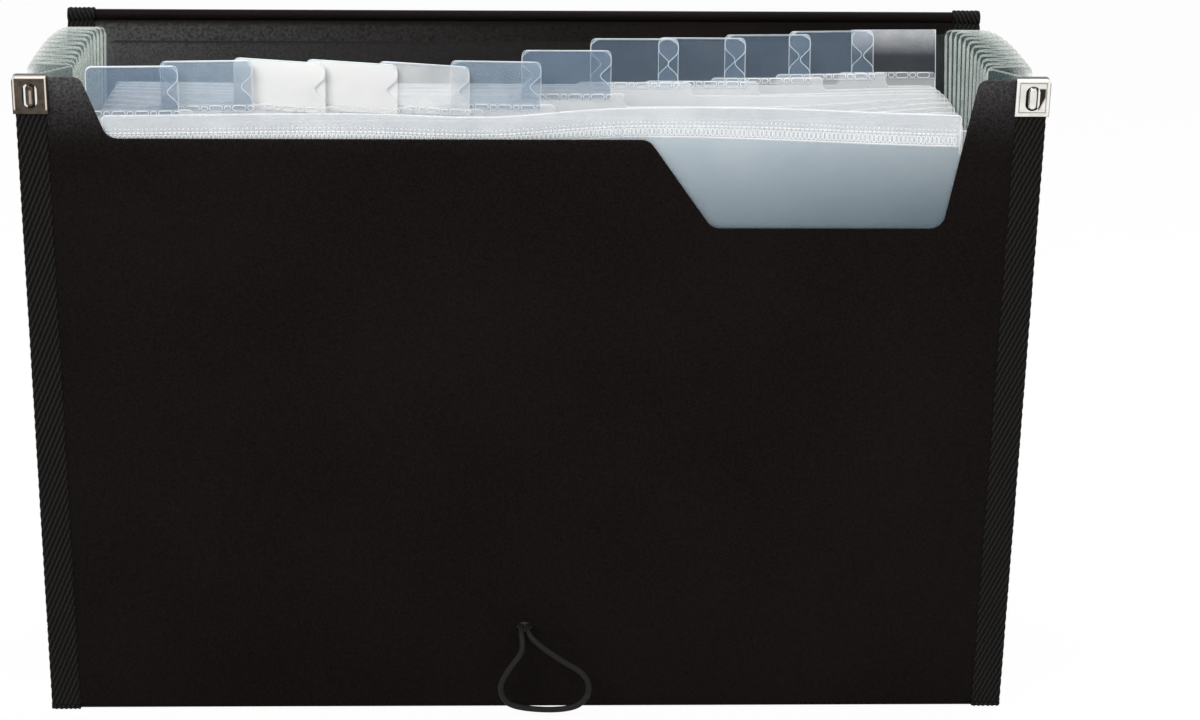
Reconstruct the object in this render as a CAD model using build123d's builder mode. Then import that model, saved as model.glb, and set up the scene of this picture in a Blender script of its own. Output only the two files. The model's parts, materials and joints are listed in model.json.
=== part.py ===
"""Accordion file folder: a letter-size expanding file standing open like a fan.

X runs along the width, Y from front to back and Z up, in millimetres.  The origin is under the
middle of the space the open folder takes up, on the surface that it stands on.  A sheet's lean is
the angle of its upward direction from upright, positive towards the back.
"""
from build123d import *

import os
from math import asin, cos, degrees, hypot, radians, sin, sqrt, tan

os.makedirs("parts", exist_ok=True)

# Cover: one black polypropylene sheet scored into front, base, back, flap spine and flap
cover_width = 330.0  # over the edge binding
cover_sheet = 1.0
base_depth = 36.0  # between the two base creases
front_height = 235.0  # base crease to the tops of the front corners
back_height = 238.5  # base crease to the axis of the top fold
spine_depth = 44.0  # top fold to flap crease
flap_length = 190.0  # flap crease to free edge
front_lean = -17.0
back_lean = 13.0
spine_lean = 160.0
flap_lean = 168.0
fold_radius = 2.0  # rolled bend along the top of the back
crease_gap = 0.25

# Thumb cut-out along the top of the front: its ends are measured from the panel's side edges,
# its steps from the middle and its depths from the top
cutout_left_top = 20.1
cutout_left_foot = 27.9
cutout_shelf_drop = 21.2
cutout_shelf_end = 37.3
cutout_dip_start = 58.5
cutout_dip_drop = 52.5
cutout_right_foot = 30.5
cutout_right_top = 21.5
cutout_foot_radius = 5.0
cutout_ear_radius = 3.5

# Woven tape folded over every side edge, with pressed metal clips on its two ends
binding_width = 10.0
binding_tape = 0.7
binding_round = 0.8
fold_binding_start = 5.0  # the spine's tape starts here, clear of the tape on the back
clip_width = 11.2
clip_height = 12.6
clip_wall = 0.6
clip_round = 1.4
clip_slot_length = 8.4
clip_slot_width = 4.6
clip_slot_depth = 0.35
clip_bump_length = 7.4
clip_bump_width = 2.6
clip_bump_height = 0.4  # above the face of the clip
clip_bump_taper = 20.0

# Elastic loop at the foot of the front, and the button on the flap that it hooks over
loop_hole_across = -1.5
loop_hole_height = 31.0
loop_hole = 5.2
loop_cord = 2.0
loop_sides = 6
loop_leg_spacing = 2.3
loop_exit = 2.0
anchor_length = 14.0
anchor_height = 6.0
anchor_thickness = 0.8
anchor_clearance = 2.0
button_from_edge = 12.0
button_head = 11.0
button_head_height = 2.2
button_head_round = 1.3
button_stem = 5.0
button_stem_height = 2.6
button_rivet = 3.0
washer_diameter = 9.0
washer_thickness = 0.8

# Clear front sheet with a welded hem, and the black liner on the back
front_sheet_thickness = 0.35
front_sheet_seat = 0.05
front_sheet_drop = 12.5  # below the tops of the front corners
front_sheet_foot = 6.0
hem_height = 10.0
hem_inset = 9.7  # in from the sheet's side edges
liner_thickness = 0.5
liner_inset = 13.0  # in from the edge of the binding
liner_foot = 3.0
liner_top_drop = 9.5  # below the axis of the top fold
liner_corner = 4.0

# Twelve clear dividers, fanned so that the pockets open wider towards the back
divider_count = 12
divider_thickness = 0.4
divider_inset = 17.3  # in from the edge of the binding, which leaves room for the gussets
divider_neck_inset = 2.7
divider_shoulder = 22.0  # the narrow part below the top edge
divider_drop = 22.0  # below the tops of the front corners
carrier_rise = 4.5  # the divider is taller under its tab
carrier_margin = 4.5
divider_corner = 2.0
pivot_height = 4.3  # bottom edges above the base creases
front_gap = 3.4
back_gap = 3.6
front_pocket_flare = 19.0  # how much the pocket behind the front widens from foot to mouth
first_pocket_flare = 3.5  # the next pocket; those behind it widen in even steps
back_pocket_flare = 25.8  # the pocket before the back

# Label tabs: clear two-layer sleeves in a stepped row from end to end of the dividers
tab_width = 30.0
tab_height = 17.3
tab_foot_rise = 2.2  # above the divider's top edge
tab_layer = 0.3
tab_corner_width = 1.5  # cut off each upper corner of the front layer
tab_corner_height = 2.4
tab_notch_drop = 8.8  # tip of the fingertip notch below the top
tab_notch_depth = 4.0
tab_notch_height = 7.6
tab_notch_round = 1.3
tab_bulge_round = 3.0

# Side gussets: one V-shaped pleat at each end of every pocket
gusset_wall = 0.3
gusset_side_gap = 0.85  # pleat ridge, pressed flat, to the edge of the binding
gusset_edge_gap = 0.45
gusset_face_gap = 0.18
gusset_ridge = 0.5
gusset_foot = 7.0
gusset_drop = 3.0  # below the tops of the front corners
gusset_round = 3.0

# Pleated pocket floor
floor_wall = 0.3
floor_margin = 2.2
floor_land = 0.9
floor_seat_gap = 0.3

# Places that follow from these sizes
half_width = cover_width / 2
panel_half = half_width - binding_tape
binding_inner = half_width - binding_width
cover_half = cover_sheet / 2
bound_half = cover_half + binding_tape
clip_half = bound_half + clip_wall
crease_start = cover_half + crease_gap
binding_start = bound_half + crease_gap
crease_height = bound_half
divider_half_width = half_width - divider_inset
divider_top_half_width = divider_half_width - divider_neck_inset
divider_top = front_height - divider_drop
hem_half_width = divider_half_width - hem_inset
front_sheet_top = front_height - front_sheet_drop
liner_half_width = half_width - liner_inset
gusset_inner = divider_half_width + gusset_edge_gap
gusset_leg = half_width - gusset_side_gap - gusset_inner
gusset_top = front_height - gusset_drop


def upward(lean):
    """Direction of a sheet from its lower edge to its upper edge."""
    return Vector(0, sin(radians(lean)), cos(radians(lean)))


def forward(lean):
    """Direction that a sheet's front face looks in."""
    return Vector(0, -cos(radians(lean)), sin(radians(lean)))


def sheet_plane(origin, lean):
    """Plane of a sheet: x along the width, y up the sheet and z out of its front face."""
    return Plane(origin=origin, x_dir=(1, 0, 0), z_dir=forward(lean))


# The base is set back so that the open folder is centred on the origin
front_reach = (
    base_depth / 2
    - (front_height + clip_wall) * sin(radians(front_lean))
    + clip_half * cos(radians(front_lean))
)
rear_reach = (
    base_depth / 2
    + back_height * sin(radians(back_lean))
    + spine_depth * sin(radians(spine_lean))
    + (flap_length + clip_wall) * sin(radians(flap_lean))
    - clip_half * cos(radians(flap_lean))
)
base_y = (front_reach - rear_reach) / 2
front_crease = Vector(0, base_y - base_depth / 2, crease_height)
back_crease = Vector(0, base_y + base_depth / 2, crease_height)
top_fold = back_crease + upward(back_lean) * back_height
flap_crease = top_fold + upward(spine_lean) * spine_depth

front_plane = sheet_plane(front_crease, front_lean)
back_plane = sheet_plane(back_crease, back_lean)
spine_plane = sheet_plane(top_fold, spine_lean)
flap_plane = sheet_plane(flap_crease, flap_lean)

pocket_count = divider_count - 1  # between dividers
divider_pitch = (base_depth - front_gap - back_gap) / pocket_count
first_lean = front_lean + degrees(asin(front_pocket_flare / gusset_top))
first_pocket_angle = degrees(asin(first_pocket_flare / gusset_top))
fan_angle = back_lean - degrees(asin(back_pocket_flare / gusset_top)) - first_lean
fan_growth = 2 * (fan_angle / pocket_count - first_pocket_angle) / (pocket_count - 1)
divider_leans = [
    first_lean + first_pocket_angle * i + fan_growth * i * (i - 1) / 2 for i in range(divider_count)
]
divider_pivots = [
    front_crease + Vector(0, front_gap + divider_pitch * i, pivot_height)
    for i in range(divider_count)
]
tab_pitch = (2 * divider_top_half_width - tab_width) / pocket_count
tab_places = [(i - pocket_count / 2) * tab_pitch for i in range(divider_count)]

# Base of the cover, with a full-round crease along its front and back
with BuildPart() as base_panel:
    with BuildSketch(Plane.YZ):
        with Locations((base_y, crease_height)):
            SlotCenterToCenter(base_depth, cover_sheet)
    extrude(amount=panel_half, both=True)
base_panel.part.label = "base_panel"
export_step(base_panel.part, "parts/base_panel.step")

# Tape round the two ends of the base, which the folder stands on
with BuildPart() as base_binding:
    with BuildSketch(Plane.YZ.offset(binding_inner)):
        with Locations((base_y, crease_height)):
            SlotCenterToCenter(base_depth, 2 * bound_half)
    extrude(amount=binding_width)
    with BuildSketch(Plane.YZ.offset(binding_inner)):
        with Locations((base_y, crease_height)):
            SlotCenterToCenter(base_depth, cover_sheet)
    extrude(amount=panel_half - binding_inner, mode=Mode.SUBTRACT)
    mirror(about=Plane.YZ)
base_binding.part.label = "base_binding"
export_step(base_binding.part, "parts/base_binding.step")

# Pleated floor: a ridge under each divider and a flat land between
floor_front = front_crease.Y + floor_margin
floor_back = back_crease.Y - floor_margin
land_height = crease_height + cover_half + floor_wall
ridge_height = crease_height + pivot_height - floor_seat_gap
floor_line = [(floor_front, land_height)]
for pivot in divider_pivots:
    floor_line += [
        (max(pivot.Y - divider_pitch / 2 + floor_land / 2, floor_front + floor_wall), land_height),
        (pivot.Y, ridge_height),
        (min(pivot.Y + divider_pitch / 2 - floor_land / 2, floor_back - floor_wall), land_height),
    ]
floor_line.append((floor_back, land_height))
floor_underside = [(y, z - floor_wall) for y, z in reversed(floor_line)]
with BuildPart() as pocket_floor:
    with BuildSketch(Plane.YZ):
        with BuildLine():
            Polyline(*floor_line, *floor_underside, close=True)
        make_face()
    extrude(amount=divider_half_width, both=True)
pocket_floor.part.label = "pocket_floor"
export_step(pocket_floor.part, "parts/pocket_floor.step")

# Front of the cover, cut away along the top so that the tabs can be read
notch_x = binding_inner - crease_gap
ear_corners = [
    (cutout_left_top - panel_half, front_height),
    (panel_half - cutout_right_top, front_height),
]
foot_corners = [
    (cutout_left_foot - panel_half, front_height - cutout_shelf_drop),
    (cutout_shelf_end, front_height - cutout_shelf_drop),
    (cutout_dip_start, front_height - cutout_dip_drop),
    (panel_half - cutout_right_foot, front_height - cutout_dip_drop),
]
with BuildPart() as front_panel:
    with BuildSketch(front_plane.offset(-cover_half)) as front_outline:
        with BuildLine():
            Polyline(
                (-panel_half, binding_start),
                (-notch_x, binding_start),
                (-notch_x, crease_start),
                (notch_x, crease_start),
                (notch_x, binding_start),
                (panel_half, binding_start),
                (panel_half, front_height),
                ear_corners[1],
                *reversed(foot_corners),
                ear_corners[0],
                (-panel_half, front_height),
                close=True,
            )
        make_face()
        for corner in foot_corners:
            fillet(front_outline.vertices().sort_by_distance(corner)[0], cutout_foot_radius)
        for corner in ear_corners:
            fillet(front_outline.vertices().sort_by_distance(corner)[0], cutout_ear_radius)
        with Locations((loop_hole_across, loop_hole_height)):
            Circle(loop_hole / 2, mode=Mode.SUBTRACT)
    extrude(amount=cover_sheet)
front_panel.part.label = "front_panel"
export_step(front_panel.part, "parts/front_panel.step")

# Back of the cover, rolled over along the top where the flap turns back
with BuildPart() as back_panel:
    with BuildSketch(back_plane.offset(-cover_half)):
        with BuildLine():
            Polyline(
                (-panel_half, binding_start),
                (-notch_x, binding_start),
                (-notch_x, crease_start),
                (notch_x, crease_start),
                (notch_x, binding_start),
                (panel_half, binding_start),
                (panel_half, back_height),
                (-panel_half, back_height),
                close=True,
            )
        make_face()
    extrude(amount=cover_sheet)
    with BuildSketch(Plane.YZ):
        with Locations((top_fold.Y, top_fold.Z)):
            Circle(fold_radius)
    extrude(amount=panel_half, both=True)
back_panel.part.label = "back_panel"
export_step(back_panel.part, "parts/back_panel.step")

# Spine of the flap, with a full-round crease along its far edge
fold_start = fold_radius + crease_gap
fold_notch = fold_radius + binding_tape + crease_gap
with BuildPart() as flap_spine:
    with BuildSketch(spine_plane.offset(-cover_half)):
        with BuildLine():
            Polyline(
                (-panel_half, fold_notch),
                (-notch_x, fold_notch),
                (-notch_x, fold_start),
                (notch_x, fold_start),
                (notch_x, fold_notch),
                (panel_half, fold_notch),
                (panel_half, spine_depth),
                (-panel_half, spine_depth),
                close=True,
            )
        make_face()
    extrude(amount=cover_sheet)
    with BuildSketch(Plane.YZ):
        with Locations((flap_crease.Y, flap_crease.Z)):
            Circle(cover_half)
    extrude(amount=panel_half, both=True)
flap_spine.part.label = "flap_spine"
export_step(flap_spine.part, "parts/flap_spine.step")

# Tape round the two ends of the spine
with BuildPart() as flap_spine_binding:
    with BuildSketch(spine_plane.offset(-bound_half)):
        with Locations((half_width - binding_width / 2, (fold_binding_start + spine_depth) / 2)):
            Rectangle(binding_width, spine_depth - fold_binding_start)
    extrude(amount=2 * bound_half)
    with BuildSketch(Plane.YZ.offset(binding_inner)):
        with Locations((flap_crease.Y, flap_crease.Z)):
            Circle(bound_half)
    extrude(amount=binding_width)
    with BuildSketch(spine_plane.offset(-cover_half)):
        with Locations(((binding_inner + panel_half) / 2, spine_depth / 2)):
            Rectangle(panel_half - binding_inner, spine_depth)
    extrude(amount=cover_sheet, mode=Mode.SUBTRACT)
    with BuildSketch(Plane.YZ.offset(binding_inner)):
        with Locations((flap_crease.Y, flap_crease.Z)):
            Circle(cover_half)
    extrude(amount=panel_half - binding_inner, mode=Mode.SUBTRACT)
    mirror(about=Plane.YZ)
flap_spine_binding.part.label = "flap_spine_binding"
export_step(flap_spine_binding.part, "parts/flap_spine_binding.step")

# Flap that comes down over the front, with a hole for the button's rivet
with BuildPart() as flap_panel:
    with BuildSketch(flap_plane.offset(-cover_half)):
        with BuildLine():
            Polyline(
                (-panel_half, binding_start),
                (-notch_x, binding_start),
                (-notch_x, crease_start),
                (notch_x, crease_start),
                (notch_x, binding_start),
                (panel_half, binding_start),
                (panel_half, flap_length),
                (-panel_half, flap_length),
                close=True,
            )
        make_face()
        with Locations((0, flap_length - button_from_edge)):
            Circle(button_rivet / 2, mode=Mode.SUBTRACT)
    extrude(amount=cover_sheet)
flap_panel.part.label = "flap_panel"
export_step(flap_panel.part, "parts/flap_panel.step")

# Tape folded over the side edges of the front and of the flap
for panel, plane, length in (("front", front_plane, front_height), ("flap", flap_plane, flap_length)):
    for side, sign in (("left", -1), ("right", 1)):
        with BuildPart() as edge_binding:
            middle = (binding_start + length) / 2
            with BuildSketch(plane.offset(-bound_half)):
                with Locations((sign * (half_width - binding_width / 2), middle)):
                    Rectangle(binding_width, length - binding_start)
            extrude(amount=2 * bound_half)
            folded_edges = edge_binding.edges().filter_by(Axis(plane.origin, plane.y_dir))
            fillet(folded_edges.group_by(Axis.X)[-1 if sign > 0 else 0], binding_round)
            with BuildSketch(plane.offset(-cover_half)):
                with Locations((sign * (binding_inner + panel_half) / 2, middle)):
                    Rectangle(panel_half - binding_inner, length - binding_start)
            extrude(amount=cover_sheet, mode=Mode.SUBTRACT)
        edge_binding.part.label = f"{panel}_binding_{side}"
        export_step(edge_binding.part, f"parts/{panel}_binding_{side}.step")

# Tape on the side edges of the back, carried round the rolled top
for side, sign in (("left", -1), ("right", 1)):
    with BuildPart() as back_binding:
        middle = (binding_start + back_height) / 2
        with BuildSketch(back_plane.offset(-bound_half)):
            with Locations((sign * (half_width - binding_width / 2), middle)):
                Rectangle(binding_width, back_height - binding_start)
        extrude(amount=2 * bound_half)
        folded_edges = back_binding.edges().filter_by(Axis(back_plane.origin, back_plane.y_dir))
        fillet(folded_edges.group_by(Axis.X)[-1 if sign > 0 else 0], binding_round)
        with BuildSketch(Plane.YZ.offset(sign * binding_inner)):
            with Locations((top_fold.Y, top_fold.Z)):
                Circle(fold_radius + binding_tape)
        extrude(amount=sign * binding_width)
        with BuildSketch(back_plane.offset(-cover_half)):
            with Locations((sign * (binding_inner + panel_half) / 2, middle)):
                Rectangle(panel_half - binding_inner, back_height - binding_start)
        extrude(amount=cover_sheet, mode=Mode.SUBTRACT)
        with BuildSketch(Plane.YZ.offset(sign * binding_inner)):
            with Locations((top_fold.Y, top_fold.Z)):
                Circle(fold_radius)
        extrude(amount=sign * (panel_half - binding_inner), mode=Mode.SUBTRACT)
    back_binding.part.label = f"back_binding_{side}"
    export_step(back_binding.part, f"parts/back_binding_{side}.step")

# Pressed metal clips over the tape's ends: an oval bump stands in a sunk slot on the outer face
clip_outer = half_width + clip_wall
clip_inner = clip_outer - clip_width
for panel, plane, length, outward in (
    ("front", front_plane, front_height, 1),
    ("flap", flap_plane, flap_length, -1),
):
    clip_top = length + clip_wall
    clip_middle = ((clip_inner + clip_outer) / 2, clip_top - clip_height / 2)
    with BuildPart() as corner_clips:
        with BuildSketch(plane.offset(-clip_half)):
            with Locations(clip_middle):
                Rectangle(clip_width, clip_height)
        extrude(amount=2 * clip_half)
        corner = plane.from_local_coords((clip_outer, clip_top, 0))
        upright_edges = corner_clips.edges().filter_by(Axis(plane.origin, plane.z_dir))
        fillet(upright_edges.sort_by_distance(corner)[0], clip_round)
        with BuildSketch(plane.offset(-bound_half)):
            with Locations((half_width - clip_width / 2, length - clip_height / 2)):
                Rectangle(clip_width, clip_height)
        extrude(amount=2 * bound_half, mode=Mode.SUBTRACT)
        with BuildSketch(plane.offset(outward * (clip_half - clip_slot_depth))):
            with Locations(clip_middle):
                SlotOverall(clip_slot_length, clip_slot_width, rotation=90)
        extrude(amount=outward * clip_slot_depth, mode=Mode.SUBTRACT)
        with BuildSketch(plane.offset(outward * (clip_half - clip_slot_depth))):
            with Locations(clip_middle):
                SlotOverall(clip_bump_length, clip_bump_width, rotation=90)
        extrude(amount=outward * (clip_slot_depth + clip_bump_height), taper=clip_bump_taper)
        mirror(about=Plane.YZ)
    corner_clips.part.label = f"{panel}_corner_clips"
    export_step(corner_clips.part, f"parts/{panel}_corner_clips.step")

# Clear sheet behind the front: its top is folded over into a hem and it clears the loop's anchor
front_sheet_face = -cover_half - front_sheet_seat - front_sheet_thickness
with BuildPart() as front_sheet:
    with BuildSketch(front_plane.offset(front_sheet_face)) as sheet_outline:
        shoulder = front_sheet_top - divider_shoulder
        with BuildLine():
            Polyline(
                (-divider_half_width, front_sheet_foot),
                (divider_half_width, front_sheet_foot),
                (divider_half_width, shoulder),
                (hem_half_width, shoulder + (divider_half_width - hem_half_width)),
                (hem_half_width, front_sheet_top),
                (-hem_half_width, front_sheet_top),
                (-hem_half_width, shoulder + (divider_half_width - hem_half_width)),
                (-divider_half_width, shoulder),
                close=True,
            )
        make_face()
        fillet(sheet_outline.vertices().group_by(Axis.Y)[-1], divider_corner)
        with Locations((loop_hole_across, loop_hole_height)):
            RectangleRounded(
                anchor_length + 2 * anchor_clearance,
                anchor_height + 2 * anchor_clearance,
                anchor_clearance,
                mode=Mode.SUBTRACT,
            )
    extrude(amount=front_sheet_thickness)
    with BuildSketch(front_plane.offset(front_sheet_face)):
        with Locations((0, front_sheet_top - hem_height / 2)):
            RectangleRounded(2 * hem_half_width, hem_height, divider_corner)
    extrude(amount=-front_sheet_thickness)
front_sheet.part.label = "front_sheet"
export_step(front_sheet.part, "parts/front_sheet.step")

# Black liner sheet on the inside of the back
liner_top = back_height - liner_top_drop
with BuildPart() as back_liner:
    with BuildSketch(back_plane.offset(cover_half)) as liner_outline:
        with Locations((0, (liner_foot + liner_top) / 2)):
            Rectangle(2 * liner_half_width, liner_top - liner_foot)
        fillet(liner_outline.vertices().group_by(Axis.Y)[-1], liner_corner)
    extrude(amount=liner_thickness)
back_liner.part.label = "back_liner"
export_step(back_liner.part, "parts/back_liner.step")

# Cross bar behind the front that the loop's two ends are fixed to
with BuildPart() as loop_anchor:
    with BuildSketch(front_plane.offset(-cover_half)):
        with Locations((loop_hole_across, loop_hole_height)):
            RectangleRounded(anchor_length, anchor_height, anchor_height / 3)
    extrude(amount=-anchor_thickness)
loop_anchor.part.label = "loop_anchor"
export_step(loop_anchor.part, "parts/loop_anchor.step")

# Elastic loop: out of the hole, down almost to the standing surface and back, hanging to the right.
# Each middle point is given from the hole as across, forward and up.
loop_hang = [
    (-0.8, 4.0, -3.2),
    (-0.7, 4.2, -7.2),
    (-5.4, 4.1, -13.2),
    (-8.1, 3.8, -18.1),
    (-8.3, 3.6, -21.3),
    (-7.0, 3.4, -24.3),
    (-4.6, 3.2, -26.4),
    (1.4, 3.0, -27.7),
    (10.2, 2.9, -28.2),
    (17.0, 3.0, -27.3),
    (20.0, 3.2, -25.4),
    (21.9, 3.4, -22.6),
    (22.3, 3.7, -19.1),
    (21.0, 3.9, -16.0),
    (18.6, 4.1, -13.6),
    (12.6, 4.2, -10.2),
    (5.4, 4.1, -5.1),
    (2.4, 3.7, -2.4),
]
hole_centre = front_plane.from_local_coords((loop_hole_across, loop_hole_height, cover_half))
loop_route = []
for leg in (-loop_leg_spacing / 2, loop_leg_spacing / 2):
    across = loop_hole_across + leg
    inner_end = front_plane.from_local_coords((across, loop_hole_height, -cover_half))
    outer_end = front_plane.from_local_coords((across, loop_hole_height, cover_half + loop_exit))
    if not loop_route:
        loop_route = [inner_end, outer_end]
        loop_route += [hole_centre + Vector(x, -out, up) for x, out, up in loop_hang]
    else:
        loop_route += [outer_end, inner_end]
loop_radii = []
bend_share = 0.45  # of the shorter run that each bend takes up
for before, point, after in zip(loop_route, loop_route[1:], loop_route[2:]):
    shorter = min((point - before).length, (after - point).length)
    turn = (point - before).get_angle(after - point)
    loop_radii.append(bend_share * shorter / tan(radians(turn / 2)))
print("loop radii", [round(radius, 1) for radius in loop_radii])
with BuildPart() as elastic_loop:
    with BuildLine() as loop_path:
        FilletPolyline(*loop_route, radius=loop_radii)
    with BuildSketch(Plane(origin=loop_path.line @ 0, z_dir=loop_path.line % 0)) as loop_section:
        RegularPolygon(loop_cord / 2, loop_sides)
    sweep()
loop_length = sum(edge.length for edge in loop_path.edges())
print(
    "loop length", round(loop_length, 1),
    "volume", round(elastic_loop.part.volume, 1),
    "section times length", round(loop_section.sketch.area * loop_length, 1),
)
elastic_loop.part.label = "elastic_loop"
export_step(elastic_loop.part, "parts/elastic_loop.step")

# Mushroom button riveted to the outside of the flap
button_height = flap_length - button_from_edge
with BuildPart() as flap_button:
    with BuildSketch(flap_plane.offset(-cover_half)):
        with Locations((0, button_height)):
            Circle(button_stem / 2)
    extrude(amount=-button_stem_height)
    with BuildSketch(flap_plane.offset(-cover_half - button_stem_height)):
        with Locations((0, button_height)):
            Circle(button_head / 2)
    extrude(amount=-button_head_height)
    head_face = flap_button.faces().sort_by(Axis(flap_plane.origin, flap_plane.z_dir))[0]
    chamfer(head_face.edges(), button_head_round)
    with BuildSketch(flap_plane.offset(cover_half + washer_thickness)):
        with Locations((0, button_height)):
            Circle(button_rivet / 2)
    extrude(amount=-(cover_sheet + washer_thickness))
flap_button.part.label = "flap_button"
export_step(flap_button.part, "parts/flap_button.step")

# Washer that the rivet is closed over on the inside of the flap
with BuildPart() as button_washer:
    with BuildSketch(flap_plane.offset(cover_half)):
        with Locations((0, button_height)):
            Circle(washer_diameter / 2)
            Circle(button_rivet / 2, mode=Mode.SUBTRACT)
    extrude(amount=washer_thickness)
button_washer.part.label = "button_washer"
export_step(button_washer.part, "parts/button_washer.step")

# Dividers, each taller under its own tab
top = divider_top - pivot_height
carrier_top = top + carrier_rise
carrier_half = tab_width / 2 + carrier_margin
shoulder = top - divider_shoulder
neck = shoulder + divider_neck_inset
step_cut = min(divider_corner, 0.45 * carrier_rise)
for number in range(1, divider_count + 1):
    tab_x = tab_places[number - 1]
    carrier_left = max(tab_x - carrier_half, -divider_top_half_width)
    carrier_right = min(tab_x + carrier_half, divider_top_half_width)
    plane = sheet_plane(divider_pivots[number - 1], divider_leans[number - 1])
    with BuildPart() as divider:
        with BuildSketch(plane.offset(-divider_thickness / 2)) as divider_outline:
            with BuildLine():
                Polyline(
                    (-divider_half_width, 0),
                    (divider_half_width, 0),
                    (divider_half_width, shoulder),
                    (divider_top_half_width, neck),
                    (divider_top_half_width, top),
                    (-divider_top_half_width, top),
                    (-divider_top_half_width, neck),
                    (-divider_half_width, shoulder),
                    close=True,
                )
            make_face()
            with Locations(((carrier_left + carrier_right) / 2, (neck + carrier_top) / 2)):
                Rectangle(carrier_right - carrier_left, carrier_top - neck)
            levels = divider_outline.vertices().group_by(Axis.Y)
            chamfer(levels[-1] + levels[-2], step_cut)
        extrude(amount=divider_thickness)
    divider.part.label = f"divider_{number:02d}"
    export_step(divider.part, f"parts/divider_{number:02d}.step")

# Tabs that straddle the dividers: a plain back layer, a fold along the top, and a front layer whose
# ends have a cut corner and a fingertip notch, except at the two ends of the row
tab_low = top + tab_foot_rise
tab_high = tab_low + tab_height
notch_tip = tab_high - tab_notch_drop
for number in range(1, divider_count + 1):
    tab_x = tab_places[number - 1]
    plane = sheet_plane(divider_pivots[number - 1], divider_leans[number - 1])
    with BuildPart() as tab:
        with BuildSketch(plane.offset(-divider_thickness / 2)):
            with Locations((tab_x, (tab_low + tab_high) / 2)):
                Rectangle(tab_width, tab_height)
        extrude(amount=-tab_layer)
        with BuildSketch(plane.offset(-divider_thickness / 2)):
            with Locations((tab_x, tab_high - tab_layer / 2)):
                Rectangle(tab_width - 2 * tab_corner_width, tab_layer)
        extrude(amount=divider_thickness)
        with BuildSketch(plane.offset(divider_thickness / 2)) as front_layer:
            with Locations((tab_x, (tab_low + tab_high) / 2)):
                Rectangle(tab_width, tab_height)
            for end in (-1, 1):
                at_row_end = number == (1 if end < 0 else divider_count)
                if at_row_end:
                    continue
                end_x = tab_x + end * tab_width / 2
                tip = (end_x - end * tab_notch_depth, notch_tip)
                bulges = [
                    (end_x, notch_tip + tab_notch_height / 2),
                    (end_x, notch_tip - tab_notch_height / 2),
                ]
                with BuildLine():
                    Polyline(bulges[0], tip, bulges[1], close=True)
                make_face(mode=Mode.SUBTRACT)
                with BuildLine():
                    Polyline(
                        (end_x, tab_high),
                        (end_x, tab_high - tab_corner_height),
                        (end_x - end * tab_corner_width, tab_high),
                        close=True,
                    )
                make_face(mode=Mode.SUBTRACT)
                fillet(front_layer.vertices().sort_by_distance(tip)[0], tab_notch_round)
                for bulge in bulges:
                    fillet(front_layer.vertices().sort_by_distance(bulge)[0], tab_bulge_round)
        extrude(amount=tab_layer)
    tab.part.label = f"tab_{number:02d}"
    export_step(tab.part, f"parts/tab_{number:02d}.step")


def flat_sided_solid(low, high):
    """Solid between two outlines of the same count, each side in two flat triangles.

    The fold between the triangles starts at the inner corner of the lower outline, so that a twisted
    side bends into the pleat.
    """
    sides = []
    for a, b, c, d in zip(low, low[1:] + low[:1], high[1:] + high[:1], high):
        folded = [(a, b, c), (a, c, d)] if a.X <= b.X else [(a, b, d), (b, c, d)]
        sides += [Face(Wire.make_polygon(corners)) for corners in folded]
    ends = [Face(Wire.make_polygon(low)), Face(Wire.make_polygon(high))]
    return Solid(Shell(sides + ends))


# Gussets: a folded V between the edges of neighbouring sheets, at both ends of each pocket
sheet_feet = [front_crease, *divider_pivots, back_crease]
sheet_leans = [front_lean, *divider_leans, back_lean]
rear_faces = [-front_sheet_face] + [0] * divider_count
front_faces = [0] * divider_count + [cover_half + liner_thickness]
for number in range(1, divider_count + 2):
    near_foot, far_foot = sheet_feet[number - 1], sheet_feet[number]
    near_lean, far_lean = sheet_leans[number - 1], sheet_leans[number]
    sections = []
    with BuildPart() as gusset:
        for height in (gusset_foot, gusset_top):
            near = near_foot + upward(near_lean) * (height - (near_foot.Z - crease_height))
            near -= forward(near_lean) * (rear_faces[number - 1] + gusset_face_gap)
            far = far_foot + upward(far_lean) * (height - (far_foot.Z - crease_height))
            far += forward(far_lean) * (front_faces[number - 1] + gusset_face_gap)
            half_gap = (far - near).length / 2
            reach = sqrt(gusset_leg**2 - half_gap**2)
            ridge = gusset_inner + reach
            leg = hypot(reach, half_gap - gusset_ridge / 2)
            wall = gusset_wall * leg / reach
            hollow = gusset_inner + reach * (half_gap - wall) / (half_gap - gusset_ridge / 2)
            across = (far - near).normalized()
            middle = (near + far) / 2
            outline = [
                (gusset_inner, -half_gap),
                (ridge, -gusset_ridge / 2),
                (ridge, gusset_ridge / 2),
                (gusset_inner, half_gap),
                (gusset_inner, half_gap - wall),
                (hollow, 0),
                (gusset_inner, wall - half_gap),
            ]
            sections.append([middle + Vector(x, 0, 0) + across * y for x, y in outline])
        add(flat_sided_solid(*sections))
        # The top corner at the ridge is taken off in two flats
        corner_flats = [
            (ridge - gusset_round * (1 - cos(turn)), middle.Z - gusset_round * (1 - sin(turn)))
            for turn in (0, radians(45), radians(90))
        ]
        with BuildSketch(Plane.XZ.offset(-middle.Y)):
            with BuildLine():
                Polyline(
                    *corner_flats,
                    (ridge - gusset_round, middle.Z + gusset_round),
                    (ridge + gusset_round, middle.Z + gusset_round),
                    (ridge + gusset_round, middle.Z - gusset_round),
                    close=True,
                )
            make_face()
        extrude(amount=gusset_leg, both=True, mode=Mode.SUBTRACT)
        mirror(about=Plane.YZ)
    gusset.part.label = f"gusset_{number:02d}"
    export_step(gusset.part, f"parts/gusset_{number:02d}.step")
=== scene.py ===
import json
from math import cos, radians, sin

import bmesh
import bpy
import numpy as np
from mathutils import Matrix, Vector


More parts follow.
